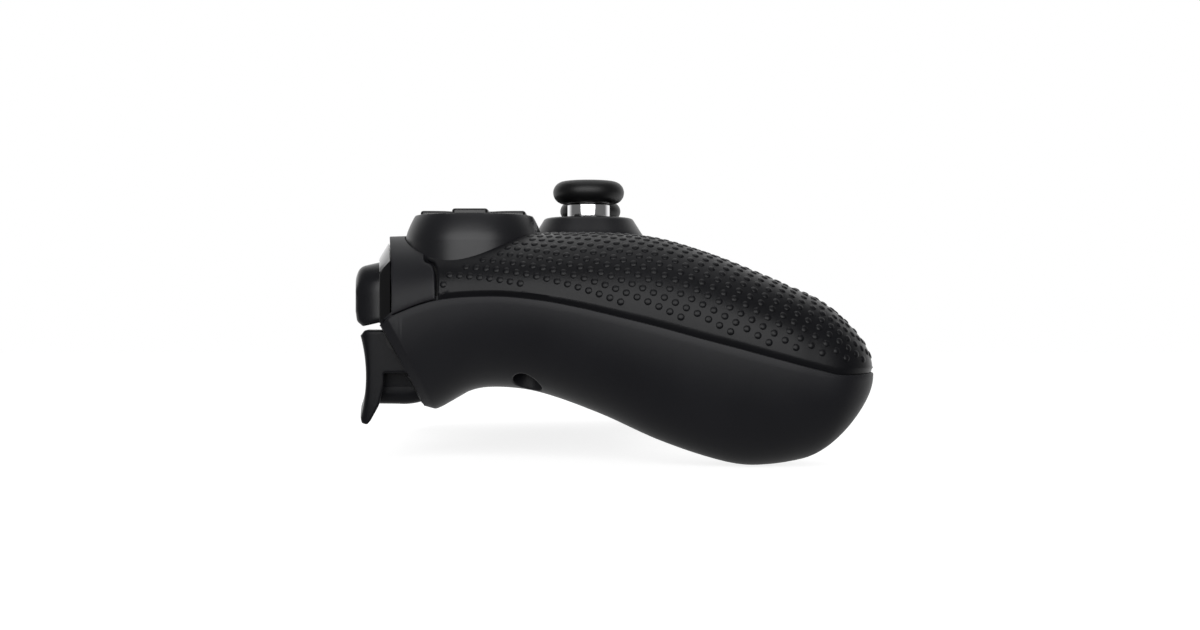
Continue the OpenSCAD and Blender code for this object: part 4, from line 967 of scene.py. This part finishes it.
def crown(x):
    """Height of the fascia's top edge."""
    return 49.4 - 4.6 * np.clip((np.abs(x) - 49) / 13.6, 0, 1) ** 1.4


def crease(x):
    """Height at which the fascia's chamfer starts."""
    return crown(x) - mix(3.6, 2.4, ramp(48, 62.6, np.abs(x)))


half = [(29.6, 31), (29.6, 45.2), (60.9, 45.2), (60.9, 31), (62.6, 31)]
corner = [(x, float(crown(x))) for x in np.linspace(62.6, 49, 15)]
half_r = [0.4, 0.4, 7.2, 0.3, 0.3] + [0] * len(corner)
half += corner
front = fillet([*half, *[(-x, z) for x, z in half[::-1]]], half_r + half_r[::-1], 8)
window = fillet([(-4.7, 38.8), (4.7, 38.8), (4.7, 42.4), (-4.7, 42.4)], 0.6)
xs = np.linspace(-62.5, 62.5, 90)
CHAMFER, FASCIA_BACK = 2.2, -2.25


def fascia_face(p):
    fall = -CHAMFER * (p[:, 1] - crease(p[:, 0])) / (crown(p[:, 0]) - crease(p[:, 0]))
    return smooth_min(np.zeros(len(p)), fall, 0.2)


def fascia_edge(p):
    return 1 - ramp(-1.0, 0, p[:, 1] - crease(p[:, 0]))


v, t = raised(front, [window], fascia_face, FASCIA_BACK, 0.3, 1.6,
              [np.c_[xs, crease(xs) + o] for o in (-0.3, -0.12, 0, 0.12, 0.3)], fascia_edge)
lean = 1 - 0.018 * ramp(60.5, 62.6, np.abs(v[:, 0])) * np.clip(1 - v[:, 2] / FASCIA_BACK, 0, 1)
add("fascia", wrap(v[:, 0] * lean, v[:, 2], v[:, 1]), t[:, ::-1], "gloss_front", "case", ["front_fascia"])


def bar(outline, x0, x1, drop, step, reach, levels, extra=()):
    """A form with an outline in two axes, run along x; drop says how far its outer end falls back at each place."""
    loop = divided(outline, step)
    lines = [loop, *extra] + [inset(loop, o) for o in reach * ROUND]
    lo, hi = outline.min(0), outline.max(0)
    grid = hexgrid(lo[0], hi[0], lo[1], hi[1], step)
    for l in lines:
        grid = grid[line_dist(grid, l) > 0.4 * step]
    v2, t = triangulate(grid, lines)
    v2, t = compact(v2, t[inside(v2[t].mean(1), loop)])
    near = line_dist(v2, loop)
    v, t = close(np.c_[v2, x1 - drop(v2, near)], t, np.c_[v2, x0 + rounded(near, 0.35)],
                 [np.c_[v2, np.full(len(v2), x)] for x in levels])
    return v[:, [2, 0, 1]], t


BUMPER_TOP, BUMPER_BACK = 45.4, -2.6
bumper_side = divided(fillet([(BUMPER_BACK, 31.8), (3.6, 30.37), (4.9, 31.5), (5.2, 34), (5.2, 41.2), (4.3, 43.81),
                              (BUMPER_BACK, BUMPER_TOP)], [0.3, 0.5, 1.4, 3, 5, 2.4, 0.3], 6), 1.2)
v, t = bar(bumper_side, 30, 60.5, lambda p, near: rounded(near, 0.9), 0.9, 0.9,
           np.r_[np.arange(59.4, 52, -0.6), np.arange(51, 30.9, -2)])
x, g, z = v.T
shoulder = 7 * (1 - np.sqrt(1 - np.clip((x - 53.5) / 7.2, 0, 1) ** 2))
turn_in = 0.04 * (g - BUMPER_BACK) ** 2 * ramp(50, 60.5, x)
v = wrap(x - turn_in, g, z - shoulder * ramp(31.5, BUMPER_TOP, z))
for side, sign in SIDES:
    add(side + "_bumper", *on_side(sign, v, t), "bumper", side + "_bumper", [side + "_bumper"])

BLADE_OUT, BLADE_LOW = 364.16 - FRONT_R, 8.6
zs = np.linspace(10.1, 28.3, 14)
blade_side = np.r_[[(-5.2, 29.4), (-5.2, 17.5), (-4.1, 12.9), (-2.3, 9.6), (-1.5, BLADE_LOW), (-0.3, 8.9)],
                   np.c_[34.76 - np.sqrt(36 ** 2 - (zs - 19.2) ** 2), zs], [(-0.9, 29.4)]]
blade_side = divided(fillet(blade_side, [0.2, 6, 5, 0.9, 0.6, 0.6] + [0] * 14 + [0.5], 5), 0.9)
k = np.argmin(np.hypot(*(blade_side - [-5.2, 20.3]).T))
edges = np.r_[blade_side[k:-1], blade_side[:1]]
face = edges[(edges[:, 0] > -1.75) & (edges[:, 1] > 9.3) & (edges[:, 1] < 28.8)]


def blade_end(p, near):
    return np.maximum(rounded(line_dist(p, edges), 0.5), rounded(line_dist(p, face), 0.9))


v, t = bar(blade_side, 31, 61, blade_end, 0.8, 0.9, np.r_[59.2, 58.6, np.arange(58, 31.6, -1.5)])
x, g, z = v.T
low = np.interp(x, [31, 45, 59.5, 61], [11.4, 11, 8.5, BLADE_LOW])
turn_in = 0.09 * np.maximum(g + 3.6, 0) ** 2 * ramp(50, 61, x)
blade = wrap(x - turn_in, g + BLADE_OUT, z + (low - BLADE_LOW) * np.clip((17 - z) / 8.4, 0, 1)), t


def plate(outline, x0, x1, r, edge):
    """A plate with an outline in y and z, between two places in x; the outer edge is rounded along a line."""
    line = np.asarray(edge, float)
    return bar(np.asarray(outline, float), x0, x1, lambda p, near: rounded(line_dist(p, line), r), 1.0, r,
               [x1 - r - 0.2, x0 + 0.5])


HINGE = np.array([45.3, 27.6])
DRUM_STEP, DRUM_ROUND = 17.0, 2.6


def about_hinge(r, degrees):
    return [HINGE + r * np.array([math.cos(q), math.sin(q)]) for q in np.radians(degrees)]


arc = about_hinge(14.8, np.arange(243.3, 274.1, 2.2))
drum = [(42.4, 25.6), *arc, (47, 12.85), (51.05, 12.9), (51.05, 29.1), (43.3, 29.1), (42.4, 25.6)]
cheek = fillet([(40.5, 20), (50.4, 20), (50.4, 29.2), (43.3, 29.2), (42.4, 25.6)], [0.5, 0, 0, 0.4, 0])
arm = [(45.3, 27.8), (48.85, 24.6), (52.05, 24.6), (52.05, 29.3), (45.3, 29.3), (45.3, 27.8)]
shelf = [(40.6, 20.1), (50.8, 20.1), (50.8, 21.6), (41.2, 21.6), (40.6, 20.1)]
drum_edge = np.array(drum[1:-3])


def drum_end(p, near):
    lean = np.where(p[:, 1] > DRUM_STEP - 0.01, 0.05 * np.clip(20.1 - p[:, 1], 0, 9), 0.05)
    return lean + rounded(line_dist(p, drum_edge), DRUM_ROUND)


drum_part = bar(np.array(drum), 31.3, 57, drum_end, 0.8, DRUM_ROUND, [54, 31.8],
                [np.array([(37, z), (51.05, z)]) for z in (DRUM_STEP, DRUM_STEP - 0.12)])
more = [plate(cheek, 59, 60.98, 0.45, [(48.6, 29.2), (43.3, 29.2), (42.4, 25.6), (40.5, 20), (48.6, 20)]),
        plate(arm, 31.3, 60.3, 0.2, arm), plate(shelf, 54, 60, 0.2, shelf), blade]
hollow = plate(about_hinge(13.2, np.arange(0, 361, 6)), 33, 55, 0.1, arm)
for side, sign in SIDES:
    ob = add(side + "_trigger", *on_side(sign, *drum_part), "trigger", None)
    carve(ob, add("drum_hollow", *on_side(sign, *hollow), "trigger", None))
    for part in more:
        carve(ob, add("trigger_part", *on_side(sign, *part), "trigger", None), "UNION")
    settle(ob, side + "_trigger", [side + "_trigger"])

# Finishes of the CAD nodes that stay
KEPT = {
    "steel": ["left_trigger_spring", "right_trigger_spring", "dpad_pivot",
              "usb_socket", "left_motor", "right_motor", "board_screws", "left_stick_housing", "right_stick_housing"],
    "inner_plastic": ["left_trigger_bracket", "right_trigger_bracket", "dpad_post", "left_stick_stem",
                      "right_stick_stem", "left_stick_rocker", "right_stick_rocker", "bumper_switches"],
    "pale_plastic": ["left_stick_pivot", "right_stick_pivot"],
    "membrane": ["dpad_membrane", "button_membrane", "system_membrane"],
    "board": ["main_board"],
    "battery_wrap": ["battery"],
    "dark_screw": ["case_screws", "left_trigger_pin", "right_trigger_pin"],
    "weight_metal": ["left_motor_weight", "right_motor_weight"],
}
for slot, names in KEPT.items():
    for piece in names:
        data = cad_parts[piece].data
        for i in range(len(data.materials)):
            data.materials[i] = MATS[slot]

# Floor, world and lights
FLOOR_HALF, FLOOR_Z = 0.9, -0.0002
WHITE = (1, 1, 1, 1)


def blank(owner):
    """An empty node tree with its output."""
    owner.use_nodes = True
    owner.node_tree.nodes.clear()
    kind = "ShaderNodeOutputWorld" if isinstance(owner, bpy.types.World) else "ShaderNodeOutputMaterial"
    return owner.node_tree, owner.node_tree.nodes.new(kind)


me = bpy.data.meshes.new("floor")
me.from_pydata([(x * FLOOR_HALF, y * FLOOR_HALF, FLOOR_Z) for x, y in ((-1, -1), (1, -1), (1, 1), (-1, 1))], [],
               [(0, 1, 2, 3)])
floor = bpy.data.objects.new("floor", me)
bpy.context.scene.collection.objects.link(floor)
pale_floor = bpy.data.materials.new("pale_floor")
nt, out = blank(pale_floor)
path = node(nt, "ShaderNodeLightPath")
pale = node(nt, "ShaderNodeBsdfDiffuse", {"Color": (0.4, 0.4, 0.4, 1)})
lift = node(nt, "ShaderNodeEmission", {"Strength": 0.84})
seen = node(nt, "ShaderNodeAddShader", {0: pale.outputs[0], 1: lift.outputs[0]})
spot = node(nt, "ShaderNodeTexCoord")
axes = node(nt, "ShaderNodeSeparateXYZ", {0: spot.outputs["Object"]})
# Painted light for reflections: to glossy rays the floor glows, dim on the camera side and bright from under the object
# on, where its shadow would fall.
back = node(nt, "ShaderNodeMapRange", {"Value": axes.outputs["X"], "From Min": -0.1, "From Max": -0.015,
                                       "To Min": 0.09, "To Max": 1.0})
painted_floor_glow = node(nt, "ShaderNodeEmission", {"Strength": back.outputs["Result"]})
plain = node(nt, "ShaderNodeMixShader", {"Fac": path.outputs["Is Glossy Ray"], 1: pale.outputs[0], 2: painted_floor_glow.outputs[0]})
mixer = node(nt, "ShaderNodeMixShader", {"Fac": path.outputs["Is Camera Ray"], 1: plain.outputs[0], 2: seen.outputs[0]})
geo = node(nt, "ShaderNodeNewGeometry")
clear = node(nt, "ShaderNodeBsdfTransparent")
sided = node(nt, "ShaderNodeMixShader", {"Fac": geo.outputs["Backfacing"], 1: mixer.outputs[0], 2: clear.outputs[0]})
nt.links.new(sided.outputs[0], out.inputs["Surface"])
me.materials.append(pale_floor)

world = bpy.data.worlds.new("studio")
bpy.context.scene.world = world
nt, out = blank(world)
path = node(nt, "ShaderNodeLightPath")
white = node(nt, "ShaderNodeBackground", {"Color": WHITE})
way = node(nt, "ShaderNodeTexCoord")
axes = node(nt, "ShaderNodeSeparateXYZ", {0: way.outputs["Generated"]})
fall = node(nt, "ShaderNodeMapRange", {"Value": axes.outputs["X"], "From Min": 0.15, "From Max": 0.8,
                                       "To Min": 0.14, "To Max": 1.0})
fall.interpolation_type = "SMOOTHSTEP"
studio = node(nt, "ShaderNodeBackground", {"Color": WHITE, "Strength": fall.outputs["Result"]})
mixer = node(nt, "ShaderNodeMixShader", {"Fac": path.outputs["Is Camera Ray"], 1: studio.outputs[0],
                                         2: white.outputs[0]})
nt.links.new(mixer.outputs[0], out.inputs["Surface"])


def softbox(name, at, aim, w, h, glow):
    """A soft panel; glow is how bright its face is."""
    l = bpy.data.lights.new(name, "AREA")
    l.shape = "RECTANGLE"
    l.size, l.size_y = w, h
    l.energy = glow * math.pi * w * h
    o = bpy.data.objects.new(name, l)
    o.location = at
    o.rotation_euler = (Vector(aim) - Vector(at)).to_track_quat("-Z", "Y").to_euler()
    bpy.context.scene.collection.objects.link(o)


softbox("top_panel", (0.05, 0, 0.8), (0, 0, 0.03), 0.8, 0.8, 1.0)
softbox("key_panel", (-1.0, 0.06, 0.37), (0, 0, 0.04), 1.6, 0.8, 3.5)
